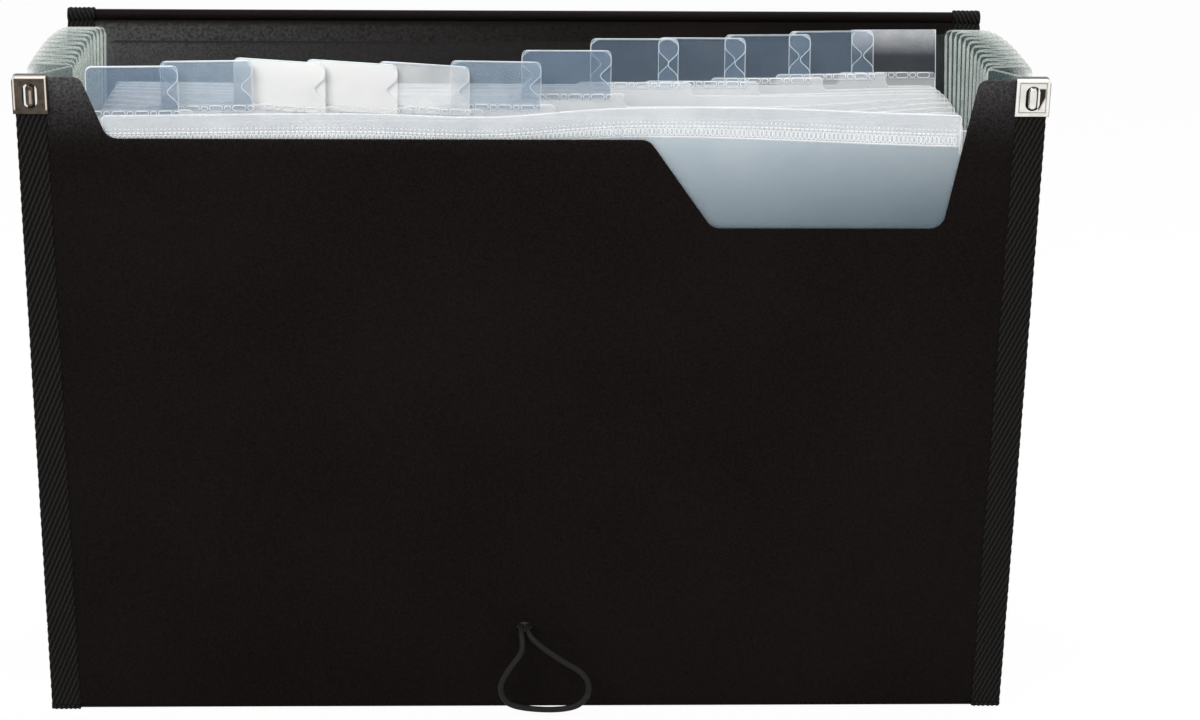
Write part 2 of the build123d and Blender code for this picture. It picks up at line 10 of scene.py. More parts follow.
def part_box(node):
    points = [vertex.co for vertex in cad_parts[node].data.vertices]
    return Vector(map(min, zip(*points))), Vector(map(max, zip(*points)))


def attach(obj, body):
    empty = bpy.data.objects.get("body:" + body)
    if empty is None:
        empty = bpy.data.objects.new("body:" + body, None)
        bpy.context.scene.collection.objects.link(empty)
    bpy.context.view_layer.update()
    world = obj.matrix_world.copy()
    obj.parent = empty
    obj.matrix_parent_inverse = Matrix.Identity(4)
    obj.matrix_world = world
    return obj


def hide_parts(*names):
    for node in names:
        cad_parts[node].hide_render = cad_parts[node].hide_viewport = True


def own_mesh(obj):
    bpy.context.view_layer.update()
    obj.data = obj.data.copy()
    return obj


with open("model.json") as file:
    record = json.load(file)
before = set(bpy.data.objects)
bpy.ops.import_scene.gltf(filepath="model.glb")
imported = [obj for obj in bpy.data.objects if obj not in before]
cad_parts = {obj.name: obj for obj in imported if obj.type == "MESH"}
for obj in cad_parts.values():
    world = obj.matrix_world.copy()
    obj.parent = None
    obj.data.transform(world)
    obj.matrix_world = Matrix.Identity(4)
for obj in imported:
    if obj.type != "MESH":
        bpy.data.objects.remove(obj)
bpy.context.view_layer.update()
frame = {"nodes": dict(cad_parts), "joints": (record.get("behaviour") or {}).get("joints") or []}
nodes = frame["nodes"]
joints = {joint["name"]: joint for joint in frame["joints"]}
scene = bpy.context.scene
mm = 0.001


def link_object(name, data):
    """New object in the scene, at the origin."""
    made = bpy.data.objects.new(name, data)
    scene.collection.objects.link(made)
    return made


# Camera at the photograph's viewing angle
camera_place = (-0.0216, -1.2422, 0.3339)
yaw, pitch, roll = radians(2.181), radians(9.928), radians(0.387)
ahead = Vector((sin(yaw) * cos(pitch), cos(yaw) * cos(pitch), -sin(pitch)))
right = Vector((cos(yaw), -sin(yaw), 0))
up = right.cross(ahead)
right, up = right * cos(roll) + up * sin(roll), up * cos(roll) - right * sin(roll)
camera = link_object("camera", bpy.data.cameras.new("camera"))
camera.data.sensor_width = 36.0
camera.data.lens = 107.09
camera.data.clip_start, camera.data.clip_end = 0.05, 20.0
camera.matrix_world = Matrix.Translation(camera_place) @ Matrix((right, up, -ahead)).transposed().to_4x4()
scene.camera = camera
scene.cycles.transparent_max_bounces = 64
scene.view_settings.view_transform = "Standard"

# Sizes in millimetres that the looks share with the solids
half_width, tape_inner, tape_out = 165.0, 155.0, 1.2
front_height, flap_length, base_depth = 235.0, 190.0, 36.0
leaf_count, leaf_thickness = 12, 0.4
leaf_half, leaf_neck_half, leaf_top, carrier_rise = 147.7, 145.0, 208.7, 4.5
tab_width = 30.0
tab_places = [
    (i - (leaf_count - 1) / 2) * (2 * leaf_neck_half - tab_width) / (leaf_count - 1) for i in range(leaf_count)
]
spine_lean, flap_lean = 160, 168
full_turn = 6.28319


# Sheets of the folder, each with a foot, an upward and a forward direction
def sheet_at(foot, lean):
    lean = radians(lean)
    return (
        np.array(foot, float),
        np.array((0, sin(lean), cos(lean))),
        np.array((0, -cos(lean), sin(lean))),
    )


def spot(sheet, across, height, out):
    """Points in metres from millimetres across, up and out of a sheet's middle surface."""
    foot, upward, forward = sheet
    across, height, out = np.broadcast_arrays(across, height, out)
    points = foot + mm * (height[..., None] * upward + out[..., None] * forward)
    points[..., 0] += mm * across
    return points


def joint_lean(name):
    """Lean of a sheet in the open folder, which is the far end of its joint's range."""
    low, high = joints[name]["range_deg"]
    return low if abs(low) > abs(high) else high


front, back, *leaves = (
    sheet_at(joints[name]["pos_m"], joint_lean(name))
    for name in ("front_fold", "back_fold", *(f"leaf_{number:02d}_fold" for number in range(1, leaf_count + 1)))
)
spine = sheet_at(joints["flap_spine_fold"]["pos_m"], spine_lean)
flap = sheet_at(joints["flap_crease_fold"]["pos_m"], flap_lean)


# Finishes
def shader_of(material):
    return material.node_tree.nodes["Principled BSDF"]


def finish(name, **sockets):
    """New finish; what is the same all over is set on the shader's own sockets."""
    material = bpy.data.materials.new(name)
    material.use_nodes = True
    for socket, value in sockets.items():
        shader_of(material).inputs[socket.replace("_", " ")].default_value = value
    return material


def new_node(tree, kind, links=(), **settings):
    """A node in a tree: links are (socket, source output) pairs, settings are attributes or input values."""
    node = tree.nodes.new(kind)
    for key, value in settings.items():
        if key in node.bl_rna.properties:
            setattr(node, key, value)
        else:
            node.inputs[key.replace("_", " ")].default_value = value
    for socket, source in links:
        tree.links.new(source, node.inputs[socket])
    return node


def add(material, kind, links=(), **settings):
    return new_node(material.node_tree, kind, links, **settings)


def join(material, source, socket):
    material.node_tree.links.new(source, shader_of(material).inputs[socket])


def ramp(material, source, *stops):
    """Colour ramp from (position, colour) stops."""
    node = add(material, "ShaderNodeValToRGB", [("Fac", source)])
    places = node.color_ramp.elements
    while len(places) < len(stops):
        places.new(0.5)
    for place, (position, colour) in zip(places, stops):
        place.position = position
        place.color = (*colour, 1)
    return node.outputs["Color"]


def raise_grain(material, height, depth):
    """Bump of a depth in millimetres."""
    bump = add(material, "ShaderNodeBump", [("Height", height)], Distance=depth * mm, Strength=1.0)
    join(material, bump.outputs["Normal"], "Normal")


def noise(material, place, size, detail=2.0):
    """Soft noise whose patches have a size in millimetres."""
    return add(
        material, "ShaderNodeTexNoise", [("Vector", place)], Scale=1 / (size * mm), Detail=detail
    ).outputs["Fac"]


def spread(material, source, low, high, start=0.3, end=0.7):
    """Number from low to high as the source goes from start to end."""
    return add(
        material, "ShaderNodeMapRange", [("Value", source)],
        From_Min=start, From_Max=end, To_Min=low, To_Max=high,
    ).outputs["Result"]


def sums(material, operation, first, second=0.0):
    """Result of a sum on numbers or outputs."""
    node = add(material, "ShaderNodeMath", operation=operation)
    for socket, value in zip(node.inputs, (first, second)):
        if isinstance(value, (int, float)):
            socket.default_value = value
        else:
            material.node_tree.links.new(value, socket)
    return node.outputs[0]


def plus(material, first, second):
    return sums(material, "ADD", first, second)


def times(material, first, *others):
    for other in others:
        first = sums(material, "MULTIPLY", first, other)
    return first


def coat(material, shade, level, *roughness):
    """Colour of a finish, and roughness that follows a level."""
    join(material, shade, "Base Color")
    join(material, spread(material, level, *roughness), "Roughness")


def place_of(material):
    return add(material, "ShaderNodeTexCoord").outputs["Object"]


def map_of(material):
    return add(material, "ShaderNodeTexCoord").outputs["UV"]


def reach(material, place, direction):
    """Distance along a direction."""
    node = add(material, "ShaderNodeVectorMath", [(0, place)], operation="DOT_PRODUCT")
    node.inputs[1].default_value = direction
    return node.outputs["Value"]


def along(material, place, direction, start, end, power=1.0):
    """Share from 0 to 1 between two distances along a direction."""
    share = spread(material, reach(material, place, direction), 0.0, 1.0, start, end)
    return sums(material, "POWER", share, power)


def band(material, value, low, high, soft):
    """Share that is 1 between two values and falls to 0 within a soft distance outside them."""
    rise = spread(material, value, 0.0, 1.0, low - soft, low)
    return times(material, rise, spread(material, value, 1.0, 0.0, high, high + soft))


def mix(material, share, first, second):
    """Colour between two, which are colours or outputs."""
    node = add(material, "ShaderNodeMix", [(0, share)], data_type="RGBA")
    for socket, value in zip(node.inputs[6:8], (first, second)):
        if isinstance(value, tuple):
            socket.default_value = (*value, 1)
        else:
            material.node_tree.links.new(value, socket)
    return node.outputs[2]


def stripes(material, place, direction, period):
    """Even ridges from 0 to 1, square to a direction on the piece's own map."""
    turn = times(material, reach(material, place, (*direction, 0)), full_turn / period)
    return times(material, plus(material, sums(material, "SINE", turn), 1.0), 0.5)


def sand_grain(material, size, depth, shades, roughness, pale=None, shares=()):
    """Fine moulded grain: bump, shade and roughness that follow it, and a pale painted sheen where all the shares are
    high.
    """
    place = place_of(material)
    grain = noise(material, place, size)
    cloud = noise(material, place, 70.0, 3.0)
    raise_grain(material, grain, depth)
    level = plus(material, times(material, grain, 0.7), times(material, cloud, 0.3))
    shade = ramp(material, level, (0.36, shades[0]), (0.66, shades[1]))
    # Painted sheen: a pale colour where the shares are high stands in for light on the plastic
    if pale:
        painted_sheen = spread(material, grain, 0.45, 1.55, 0.32, 0.68)
        painted_sheen = times(material, painted_sheen, *(along(material, place, *share) for share in shares))
        shade = mix(material, painted_sheen, shade, pale)
    coat(material, shade, grain, *roughness)


cover_shades = ((0.0031, 0.0022, 0.0019), (0.0064, 0.0049, 0.0043))
liner_shades = ((0.003, 0.0025, 0.0024), (0.0075, 0.0062, 0.006))
cover_roughness = (0.5, 0.62)
leftward, upward, downward = (-1.0, 0.0, 0.0), (0.0, 0.0, 1.0), (0.0, 0.0, -1.0)
liner_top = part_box("back_liner")[1][2]
back_middle = float(back[0].dot(back[2]))
cover_black = finish("cover_black", Specular_IOR_Level=0.03)
sand_grain(cover_black, 0.8, 0.05, cover_shades, cover_roughness)
# Front panel: painted sheen, paler towards its top and its left end, where the upper corners catch the light
front_black = finish("front_black", Specular_IOR_Level=0.03)
sand_grain(
    front_black, 0.8, 0.05, cover_shades, cover_roughness, (0.074, 0.072, 0.076),
    [(upward, 0.199, 0.231, 2.2), (leftward, -0.9, 0.17)],
)
# Back panel: painted sheen on its inner face only, paler towards the left, ending below the band at the fold, which
# stays dark as painted shade
back_black = finish("back_black", Specular_IOR_Level=0.03)
sand_grain(
    back_black, 1.0, 0.06, cover_shades, cover_roughness, (0.046, 0.0455, 0.045), [
        (leftward, -0.12, 0.16, 2.6), (downward, -0.2315, -0.2295),
        (tuple(back[2]), back_middle, back_middle + 0.0003),
    ],
)
# Liner: painted sheen, paler towards the left, left out of its top 1.4 mm so that a darker line of painted shade runs
# along its top edge
liner_black = finish("liner_black", Specular_IOR_Level=0.08)
sand_grain(
    liner_black, 0.8, 0.07, liner_shades, (0.42, 0.58), (0.039, 0.039, 0.0395),
    [(leftward, -0.12, 0.16, 3.9), (downward, -liner_top, 0.0014 - liner_top)],
)
button_black = finish("button_black", Specular_IOR_Level=0.5)
sand_grain(button_black, 0.35, 0.01, ((0.006, 0.006, 0.006), (0.012, 0.012, 0.0125)), (0.22, 0.34))

twill_lean, twill_pitch = radians(67), 1.47
twill_across = (sin(twill_lean), -cos(twill_lean))


def weave_twill(tape):
    """Diagonal wales crossed by yarns and covered with lint, with painted highlight on the raised yarn and painted
    shade in the grooves between the wales.
    """
    weave = map_of(tape)
    wale = stripes(tape, weave, twill_across, twill_pitch)
    yarn = stripes(tape, weave, (0.766, 0.643), 0.62)
    lint = noise(tape, place_of(tape), 0.3, 3.0)
    rise = times(tape, wale, plus(tape, times(tape, yarn, 0.8), 0.2))
    raise_grain(tape, plus(tape, rise, times(tape, lint, 0.25)), 0.16)
    painted_ridge_light = times(tape, rise, plus(tape, lint, 0.5))
    # Painted light: pale on the raised yarn and dark in the grooves, varied by the lint
    shade = ramp(
        tape, painted_ridge_light, (0.05, (0.0006, 0.0005, 0.0004)), (0.45, (0.004, 0.0032, 0.0028)), (0.95, (0.03, 0.0255, 0.0225)),
    )
    join(tape, shade, "Base Color")


def braid_elastic(cord):
    """Fine crossing braid on the cord's own map, with painted highlight on its raised strands and painted shade between
    them.
    """
    weave = map_of(cord)
    braid = times(cord, *(stripes(cord, weave, (1.0, slope), 0.52) for slope in (0.5, -0.5)))
    # Painted light: pale on the raised strands, dark between them
    shade = ramp(cord, braid, (0.05, (0.004, 0.0034, 0.003)), (0.8, (0.022, 0.019, 0.017)))
    coat(cord, shade, braid, 0.7, 0.5, 0.0, 1.0)
    raise_grain(cord, braid, 0.08)


# Front clips: where a place on them lies, in millimetres from the middle of the nearer one
clip_across, clip_middle, clip_half_width, clip_half_height = 160.0, 229.3, 5.6, 6.3


def clip_places(clip):
    """Place, distances across and up, share towards the border, and 0 on the left clip or 1 on the right one."""
    place = place_of(clip)
    level = reach(clip, place, (1 / mm, 0.0, 0.0))
    outer = sums(clip, "SUBTRACT", sums(clip, "ABSOLUTE", level), clip_across)
    height = reach(clip, place, tuple(front[1] / mm))
    height = sums(clip, "SUBTRACT", height, float(front[0].dot(front[1])) / mm + clip_middle)
    low, high = times(clip, height, -1.0), sums(clip, "SUBTRACT", height, 0.5)
    border = sums(
        clip, "MAXIMUM", sums(clip, "DIVIDE", sums(clip, "ABSOLUTE", outer), clip_half_width),
        sums(clip, "DIVIDE", sums(clip, "MAXIMUM", low, high), clip_half_height),
    )
    across = times(clip, outer, sums(clip, "SIGN", level))
    return place, across, height, border, spread(clip, level, 0.0, 1.0, -50.0, 50.0)


def paint_clip_reflections(clip):
    """Bright nickel with painted light: a painted highlight along the rim with a painted dark outline, a painted dark
    reflection on the left clip and a painted pale reflection on the right one, with painted glints and a painted dark
    wedge.
    """
    rub, across, height, border, right_side = clip_places(clip)
    smear = noise(clip, rub, 2.5, 4.0)
    painted_rim_highlight = times(clip, band(clip, border, 0.87, 0.925, 0.028), spread(clip, height, 0.0, 1.0, -5.2, -4.4))
    middle = float(front[0].dot(front[2])) / mm
    rear = spread(clip, reach(clip, rub, tuple(front[2] / mm)), 1.0, 0.0, middle - 0.1, middle + 0.5)
    rear_lip = times(clip, rear, spread(clip, height, 0.0, 1.0, 5.7, 6.0))
    painted_dark_outline = sums(clip, "MAXIMUM", spread(clip, border, 0.0, 1.0, 0.955, 0.985), rear_lip)
    painted_bump_glint = times(clip, band(clip, across, -0.15, 0.5, 0.15), band(clip, height, -2.4, 1.8, 0.4))
    painted_dark_reflection = ramp(clip, smear, (0.3, (0.048, 0.038, 0.029)), (0.7, (0.115, 0.095, 0.076)))
    painted_dark_reflection = mix(clip, painted_bump_glint, painted_dark_reflection, (0.42, 0.33, 0.27))
    painted_dark_reflection = mix(clip, painted_rim_highlight, painted_dark_reflection, (0.78, 0.72, 0.64))
    # Painted dark reflection: a wedge beside the slot on the right clip
    wedge_end = sums(clip, "MINIMUM", plus(clip, times(clip, height, 0.43), 4.1), 4.3)
    painted_dark_wedge = spread(clip, sums(clip, "SUBTRACT", wedge_end, across), 0.0, 1.0, 0.0, 0.5)
    painted_dark_wedge = times(clip, painted_dark_wedge, band(clip, height, -3.9, 3.2, 0.5), spread(clip, across, 0.0, 1.0, 1.7, 2.1))
    painted_bright_reflection = ramp(clip, smear, (0.3, (0.7, 0.68, 0.63)), (0.7, (0.9, 0.89, 0.85)))
    painted_bright_reflection = mix(clip, painted_dark_wedge, painted_bright_reflection, (0.03, 0.025, 0.02))
    # Painted reflection: a thin dark line inside the bright rim on the right clip
    painted_bright_reflection = mix(clip, band(clip, border, 0.75, 0.775, 0.02), painted_bright_reflection, (0.24, 0.21, 0.18))
    painted_bright_reflection = mix(clip, painted_rim_highlight, painted_bright_reflection, (0.93, 0.92, 0.88))
    both_sides = mix(clip, right_side, painted_dark_reflection, painted_bright_reflection)
    coat(clip, mix(clip, painted_dark_outline, both_sides, (0.035, 0.03, 0.025)), smear, 0.1, 0.22)
    raise_grain(clip, plus(clip, painted_rim_highlight, times(clip, smear, 0.1)), 0.1)


def darken_slot(slot):
    """Painted shade on the floor of a front clip's slot, with painted bright crescents of reflection beside its bump.
    """
    rub, across, _, _, right_side = clip_places(slot)
    painted_shade_patches = noise(slot, rub, 0.8, 3.0)
    left_glint = times(slot, band(slot, across, -1.85, -0.9, 0.12), spread(slot, right_side, 1.0, 0.0))
    glint = plus(slot, left_glint, band(slot, across, 1.7, 2.6, 0.12))
    shade = ramp(slot, painted_shade_patches, (0.3, (0.006, 0.005, 0.004)), (0.75, (0.03, 0.026, 0.022)))
    coat(slot, mix(slot, glint, shade, (0.9, 0.89, 0.84)), painted_shade_patches, 0.3, 0.45)


def rubbed_metal(name, size, detail, dark, pale, roughness):
    """Metal with soft smears between a dark and a pale (position, colour) stop."""
    metal = finish(name, Metallic=1.0)
    smear = noise(metal, place_of(metal), size, detail)
    coat(metal, ramp(metal, smear, dark, pale), smear, *roughness)
    return metal


twill_black = finish("twill_black", Specular_IOR_Level=0.1, Roughness=0.75)
weave_twill(twill_black)
elastic_black = finish("elastic_black", Specular_IOR_Level=0.15)
braid_elastic(elastic_black)
clip_nickel = finish("clip_nickel", Metallic=1.0)
paint_clip_reflections(clip_nickel)
clip_slot_dark = finish("clip_slot_dark", Metallic=1.0)
darken_slot(clip_slot_dark)
nickel_plain = rubbed_metal(
    "nickel_plain", 2.5, 4.0, (0.3, (0.42, 0.39, 0.35)), (0.7, (0.72, 0.7, 0.66)), (0.14, 0.28),
)
raise_grain(nickel_plain, noise(nickel_plain, place_of(nickel_plain), 0.5), 0.01)
# Flap clips' slot floors: dark painted shade in the recess, in soft patches
slot_plain = rubbed_metal(
    "slot_plain", 0.8, 3.0, (0.3, (0.01, 0.009, 0.008)), (0.75, (0.06, 0.052, 0.045)), (0.35, 0.5),
)


def clear_film(name, tint, haze, alpha, roughness, size=9.0, depth=0.003, painted_shade=None, share=None, shine=0.3):
    """See-through film: two tints of haze in soft patches, blended towards a painted shade colour by a share, and a
    faint orange peel.
    """
    film = finish(name, Alpha=alpha, Specular_IOR_Level=shine)
    place = place_of(film)
    patch = noise(film, place, size, 3.0)
    shade = ramp(film, patch, (0.32, tint), (0.7, haze))
    if painted_shade:
        shade = mix(film, along(film, place, *share), painted_shade, shade)
    coat(film, shade, patch, *roughness)
    raise_grain(film, noise(film, place, 1.6), depth)
    return film


# Leaves: painted shade, the film darker and bluer lower down, deeper inside the folder
sheet_clear = clear_film(
    "sheet_clear", (0.74, 0.755, 0.77), (0.83, 0.84, 0.85), 0.22, (0.22, 0.34), 26.0, 0.001,
    painted_shade=(0.15, 0.21, 0.25), share=(upward, 0.15, 0.205),
)
sheet_top = clear_film("sheet_top", (0.74, 0.76, 0.775), (0.83, 0.84, 0.85), 0.31, (0.22, 0.34), 26.0, 0.001)
# Front sheet: its darker tint than the leaves and its darkening towards the lower right are painted shade of the pocket
# behind it
sheet_front = clear_film(
    "sheet_front", (0.41, 0.49, 0.545), (0.5, 0.57, 0.62), 0.4, (0.22, 0.34), 26.0, 0.001,
    painted_shade=(0.045, 0.085, 0.112), share=((-0.25, 0.0, 1.0), 0.135, 0.205),
)
hem_film = clear_film("hem_film", (0.52, 0.55, 0.575), (0.6, 0.625, 0.645), 0.34, (0.22, 0.34), 12.0)
# Edge films: paler and less clear, a painted highlight of light caught in the films' cut edges
hem_edge = clear_film("hem_edge", (0.76, 0.79, 0.81), (0.86, 0.87, 0.88), 0.28, (0.2, 0.4))
sheet_edge = clear_film("sheet_edge", (0.84, 0.87, 0.885), (0.94, 0.95, 0.955), 0.55, (0.2, 0.4))
tab_edge = clear_film("tab_edge", (0.72, 0.8, 0.86), (0.86, 0.91, 0.94), 0.6, (0.2, 0.4))
weld_white = clear_film("weld_white", (0.92, 0.94, 0.95), (0.98, 0.98, 0.98), 0.85, (0.2, 0.4), 1.0)
weld_soft = clear_film("weld_soft", (0.9, 0.92, 0.93), (0.98, 0.98, 0.98), 0.62, (0.2, 0.4), 3.0)
tab_clear = clear_film("tab_clear", (0.3, 0.43, 0.58), (0.38, 0.51, 0.66), 0.06, (0.08, 0.16), 6.0)
tab_blue = clear_film("tab_blue", (0.225, 0.315, 0.42), (0.28, 0.37, 0.48), 0.24, (0.1, 0.2), 6.0)
tab_pale = clear_film("tab_pale", (0.36, 0.455, 0.55), (0.44, 0.535, 0.63), 0.26, (0.1, 0.2), 6.0)
# Whiter tab films: milky haze of the film together with painted glare, a reflection of the lamps
tab_hazed = clear_film("tab_hazed", (0.97, 0.97, 0.96), (1.0, 0.995, 0.98), 0.58, (0.3, 0.5), 7.0)
tab_misted = clear_film("tab_misted", (0.79, 0.82, 0.84), (0.94, 0.945, 0.945), 0.25, (0.2, 0.4), 7.0)
# Tab 12: painted reflection, a pale haze over its top, dark below
tab_rear = clear_film(
    "tab_rear", (0.66, 0.69, 0.73), (0.88, 0.89, 0.9), 0.2, (0.1, 0.3), 5.0,
    painted_shade=(0.07, 0.083, 0.098), share=(upward, 0.2225, 0.231),
)
# Gussets: painted shade, the film darker at the right end
gusset_clear = clear_film(
    "gusset_clear", (0.14, 0.18, 0.173), (0.2, 0.24, 0.232), 0.1, (0.3, 0.45), 12.0, 0.001,
    painted_shade=(0.08, 0.11, 0.11), share=(leftward, -0.165, -0.135), shine=0.06,
)
# Darker gusset film: painted shade on the middle of the right pleats' legs
gusset_deep = clear_film(
    "gusset_deep", (0.06, 0.088, 0.09), (0.09, 0.12, 0.12), 0.24, (0.3, 0.45), 12.0, 0.001, shine=0.06,
)
# Gusset rim: the welded edges, painted bright as a highlight of light caught in the film's edges
gusset_rim = clear_film("gusset_rim", (0.46, 0.52, 0.5), (0.64, 0.67, 0.61), 0.34, (0.2, 0.35), 5.0, 0.001, shine=0.15)


# Meshes
def new_piece(name, points, faces, finishes, which=None, uv=None, sharp=35):
    """New object from points in metres: which is each face's finish, uv each point's place on the map."""
    mesh = bpy.data.meshes.new(name)
    mesh.from_pydata(np.asarray(points).reshape(-1, 3).tolist(), [], [list(map(int, face)) for face in faces])
    for material in finishes:
        mesh.materials.append(material)
    if which is not None:
        mesh.polygons.foreach_set("material_index", np.asarray(which, dtype=np.int32))
    if uv is not None:
        corners = np.empty(len(mesh.loops), dtype=np.int32)
        mesh.loops.foreach_get("vertex_index", corners)
        layer = mesh.uv_layers.new(name="UVMap")
        layer.data.foreach_set("uv", np.asarray(uv, dtype=np.float32).reshape(-1, 2)[corners].ravel())
    mesh.set_sharp_from_angle(angle=radians(sharp))
    mesh.update()
    return link_object(name, mesh)


def settle(piece, body, slot, *stands_for):
    """A piece's body, its slot, which is not used, and the CAD nodes that it stands for."""
    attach(piece, body)
    if stands_for:
        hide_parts(*stands_for)
    return piece


def gather(patches):
    """Several patches, each of points, faces and a list such as marks or a map, as one of each."""
    points, faces, lists = zip(*patches)
    firsts = np.cumsum([0, *(len(part) for part in points)]).tolist()
    faces = [[k + first for k in face] for part, first in zip(faces, firsts) for face in part]
    return np.concatenate(points), faces, np.concatenate(lists)


def quads(rows, columns, first=0, wrap=False, turned=False):
    """Faces of a grid of points that is stored row by row."""
    i, j = np.meshgrid(np.arange(rows - 1), np.arange(columns if wrap else columns - 1), indexing="ij")
    k = (j + 1) % columns
    i, j, k = i.ravel() * columns + first, j.ravel(), k.ravel()
    faces = np.stack((i + j, i + k, i + columns + k, i + columns + j), -1)
    return faces[:, ::-1] if turned else faces


def grid_rim(rows, columns, first=0, width=None):
    """Points round a block of a grid, in order: first is its first point, width the grid's own if that is wider."""
    block = first + np.arange(rows)[:, None] * (width or columns) + np.arange(columns)
    return np.concatenate((block[0], block[1:, -1], block[-1, -2::-1], block[-2:0:-1, 0]))


def edge_walls(rim, step):
    """Faces from a closed line of points to the same line on another skin, whose points come a step later."""
    ahead = np.roll(rim, -1)
    return np.stack((ahead, rim, rim + step, ahead + step), -1)


corner_round, rim_width, flat_area = 2.4, 0.28, 2000


def merged_copy(node, finishes, bevel=0.0, choose=None, outline=None, corners=None):
    """A CAD node's shape as one connected mesh with softened edges, rounded corners and an inset outline on faces."""
    shape = bmesh.new()
    shape.from_mesh(nodes[node].data)
    bmesh.ops.remove_doubles(shape, verts=shape.verts, dist=2e-6)
    bmesh.ops.dissolve_limit(shape, angle_limit=radians(0.5), verts=shape.verts, edges=shape.edges)
    if bevel:
        hard = [edge for edge in shape.edges if len(edge.link_faces) == 2 and edge.calc_face_angle() > radians(40)]
        bmesh.ops.bevel(
            shape, geom=hard, offset=bevel * mm, segments=2, profile=0.5, affect="EDGES", clamp_overlap=True
        )
    if corners is not None:
        square = [edge for edge in shape.edges if corners(edge)]
        bmesh.ops.bevel(shape, geom=square, offset=corner_round * mm, segments=4, profile=0.5, affect="EDGES")
        bmesh.ops.remove_doubles(shape, verts=shape.verts, dist=2e-5)
        bmesh.ops.dissolve_degenerate(shape, edges=shape.edges, dist=2e-5)
    rims = set()
    if outline is not None:
        wide = [face for face in shape.faces if outline(face)]
        made = bmesh.ops.inset_individual(shape, faces=wide, thickness=rim_width * mm, use_even_offset=False)["faces"]
        shape.faces.index_update()
        rims = {face.index for face in made}
    mesh = bpy.data.meshes.new(node + "_finished")
    shape.to_mesh(mesh)
    shape.free()
    for material in finishes:
        mesh.materials.append(material)
    mesh.polygons.foreach_set("material_index", np.zeros(len(mesh.polygons), dtype=np.int32))
    if choose:
        for face in mesh.polygons:
            face.material_index = int(face.index in rims) or choose(face)
    mesh.set_sharp_from_angle(angle=radians(30))
    mesh.polygons.foreach_set("use_smooth", [face.area < flat_area * mm**2 for face in mesh.polygons])
    return link_object(node + "_finished", mesh)


# Elastic loop: out of the hole in the front, down and back, on one smooth line
loop_hang = [
    (-0.8, 4.0, -3.2), (-0.7, 4.2, -7.2), (-5.4, 4.1, -13.2), (-8.1, 3.8, -18.1), (-8.3, 3.6, -21.3),
    (-7.0, 3.4, -24.3), (-4.6, 3.2, -26.4), (1.4, 3.0, -27.7), (10.2, 2.9, -28.2), (17.0, 3.0, -27.3),
    (20.0, 3.2, -25.4), (21.9, 3.4, -22.6), (22.3, 3.7, -19.1), (21.0, 3.9, -16.0), (18.6, 4.1, -13.6),
    (12.6, 4.2, -10.2), (5.4, 4.1, -5.1), (2.4, 3.7, -2.4),
]
loop_height, loop_radius, loop_sides = 31.0, 1.0, 20
hole = spot(front, -1.5, loop_height, 0.5)
route = [spot(front, -2.65, loop_height, out) for out in (-0.5, 2.5)]
route += [hole + mm * np.array((x, -out, rise)) for x, out, rise in loop_hang]
route += [spot(front, -0.35, loop_height, out) for out in (2.5, -0.5)]
loop_line = bpy.data.curves.new("loop_line", "CURVE")
loop_line.dimensions = "3D"
strand = loop_line.splines.new("NURBS")
strand.points.add(len(route) - 1)
for point, place in zip(strand.points, route):
    point.co = (*place, 1)
strand.order_u = 3
strand.use_endpoint_u = True
strand.resolution_u = 14
line_holder = link_object("loop_line", loop_line)
line_mesh = bpy.data.meshes.new_from_object(line_holder.evaluated_get(bpy.context.evaluated_depsgraph_get()))
line = np.array([vertex.co for vertex in line_mesh.vertices])
bpy.data.objects.remove(line_holder)


def cord_tube(line, radius, sides):
    """Round tube along a line, with its length and girth in millimetres on its map."""
    ahead = np.gradient(line, axis=0)
    ahead /= np.linalg.norm(ahead, axis=1, keepdims=True)
    side = np.cross(ahead[0], (0, 0, 1.0))
    rings, run = [], np.concatenate(([0], np.cumsum(np.linalg.norm(np.diff(line, axis=0), axis=1))))
    turn = np.linspace(0, 2 * np.pi, sides, endpoint=False)
    for place, direction in zip(line, ahead):
        side = side - direction * side.dot(direction)
        side /= np.linalg.norm(side)
        other = np.cross(direction, side)
        rings.append(place + radius * (np.cos(turn)[:, None] * side + np.sin(turn)[:, None] * other))
    uv = np.stack(np.broadcast_arrays(turn[None] * radius / mm, run[:, None] / mm), -1)
    count = len(line)
    faces = quads(count, sides, wrap=True).tolist()
    faces += [list(range(sides))[::-1], list(range((count - 1) * sides, count * sides))]
    return np.array(rings), faces, uv


tube, tube_faces, tube_uv = cord_tube(line, loop_radius * mm, loop_sides)
elastic_cord = new_piece("elastic_cord", tube, tube_faces, [elastic_black], uv=tube_uv)
settle(elastic_cord, "front", "elastic_black", "elastic_loop")
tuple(route[0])

# Woven tape: raised diagonal wales on a strip that is folded over an edge
tape_round, tape_step, tape_row, wale_depth = 0.8, 0.27, 0.6, 0.13
lining_edge, lining_out = half_width - 0.72, 0.52


def waver(across, along):
    """Small uneven shift of the wales, in millimetres."""
    return 0.1 * np.sin(1.9 * along + 0.8 * across) + 0.07 * np.sin(4.3 * along - 2.1 * across)


def wale_dip(across, along):
    """How far below its ridges the tape's surface lies, in millimetres."""
    across = across + waver(across, along)
    phase = 2 * np.pi * (across * twill_across[0] + along * twill_across[1]) / twill_pitch
    return wale_depth * (1 - np.sin(phase))


def tape_map(across, along):
    """Map of the tape in millimetres, with the wales' uneven shift."""
    across, along = np.broadcast_arrays(across, along)
    return np.stack((across + waver(across, along), along), -1).reshape(-1, 2)


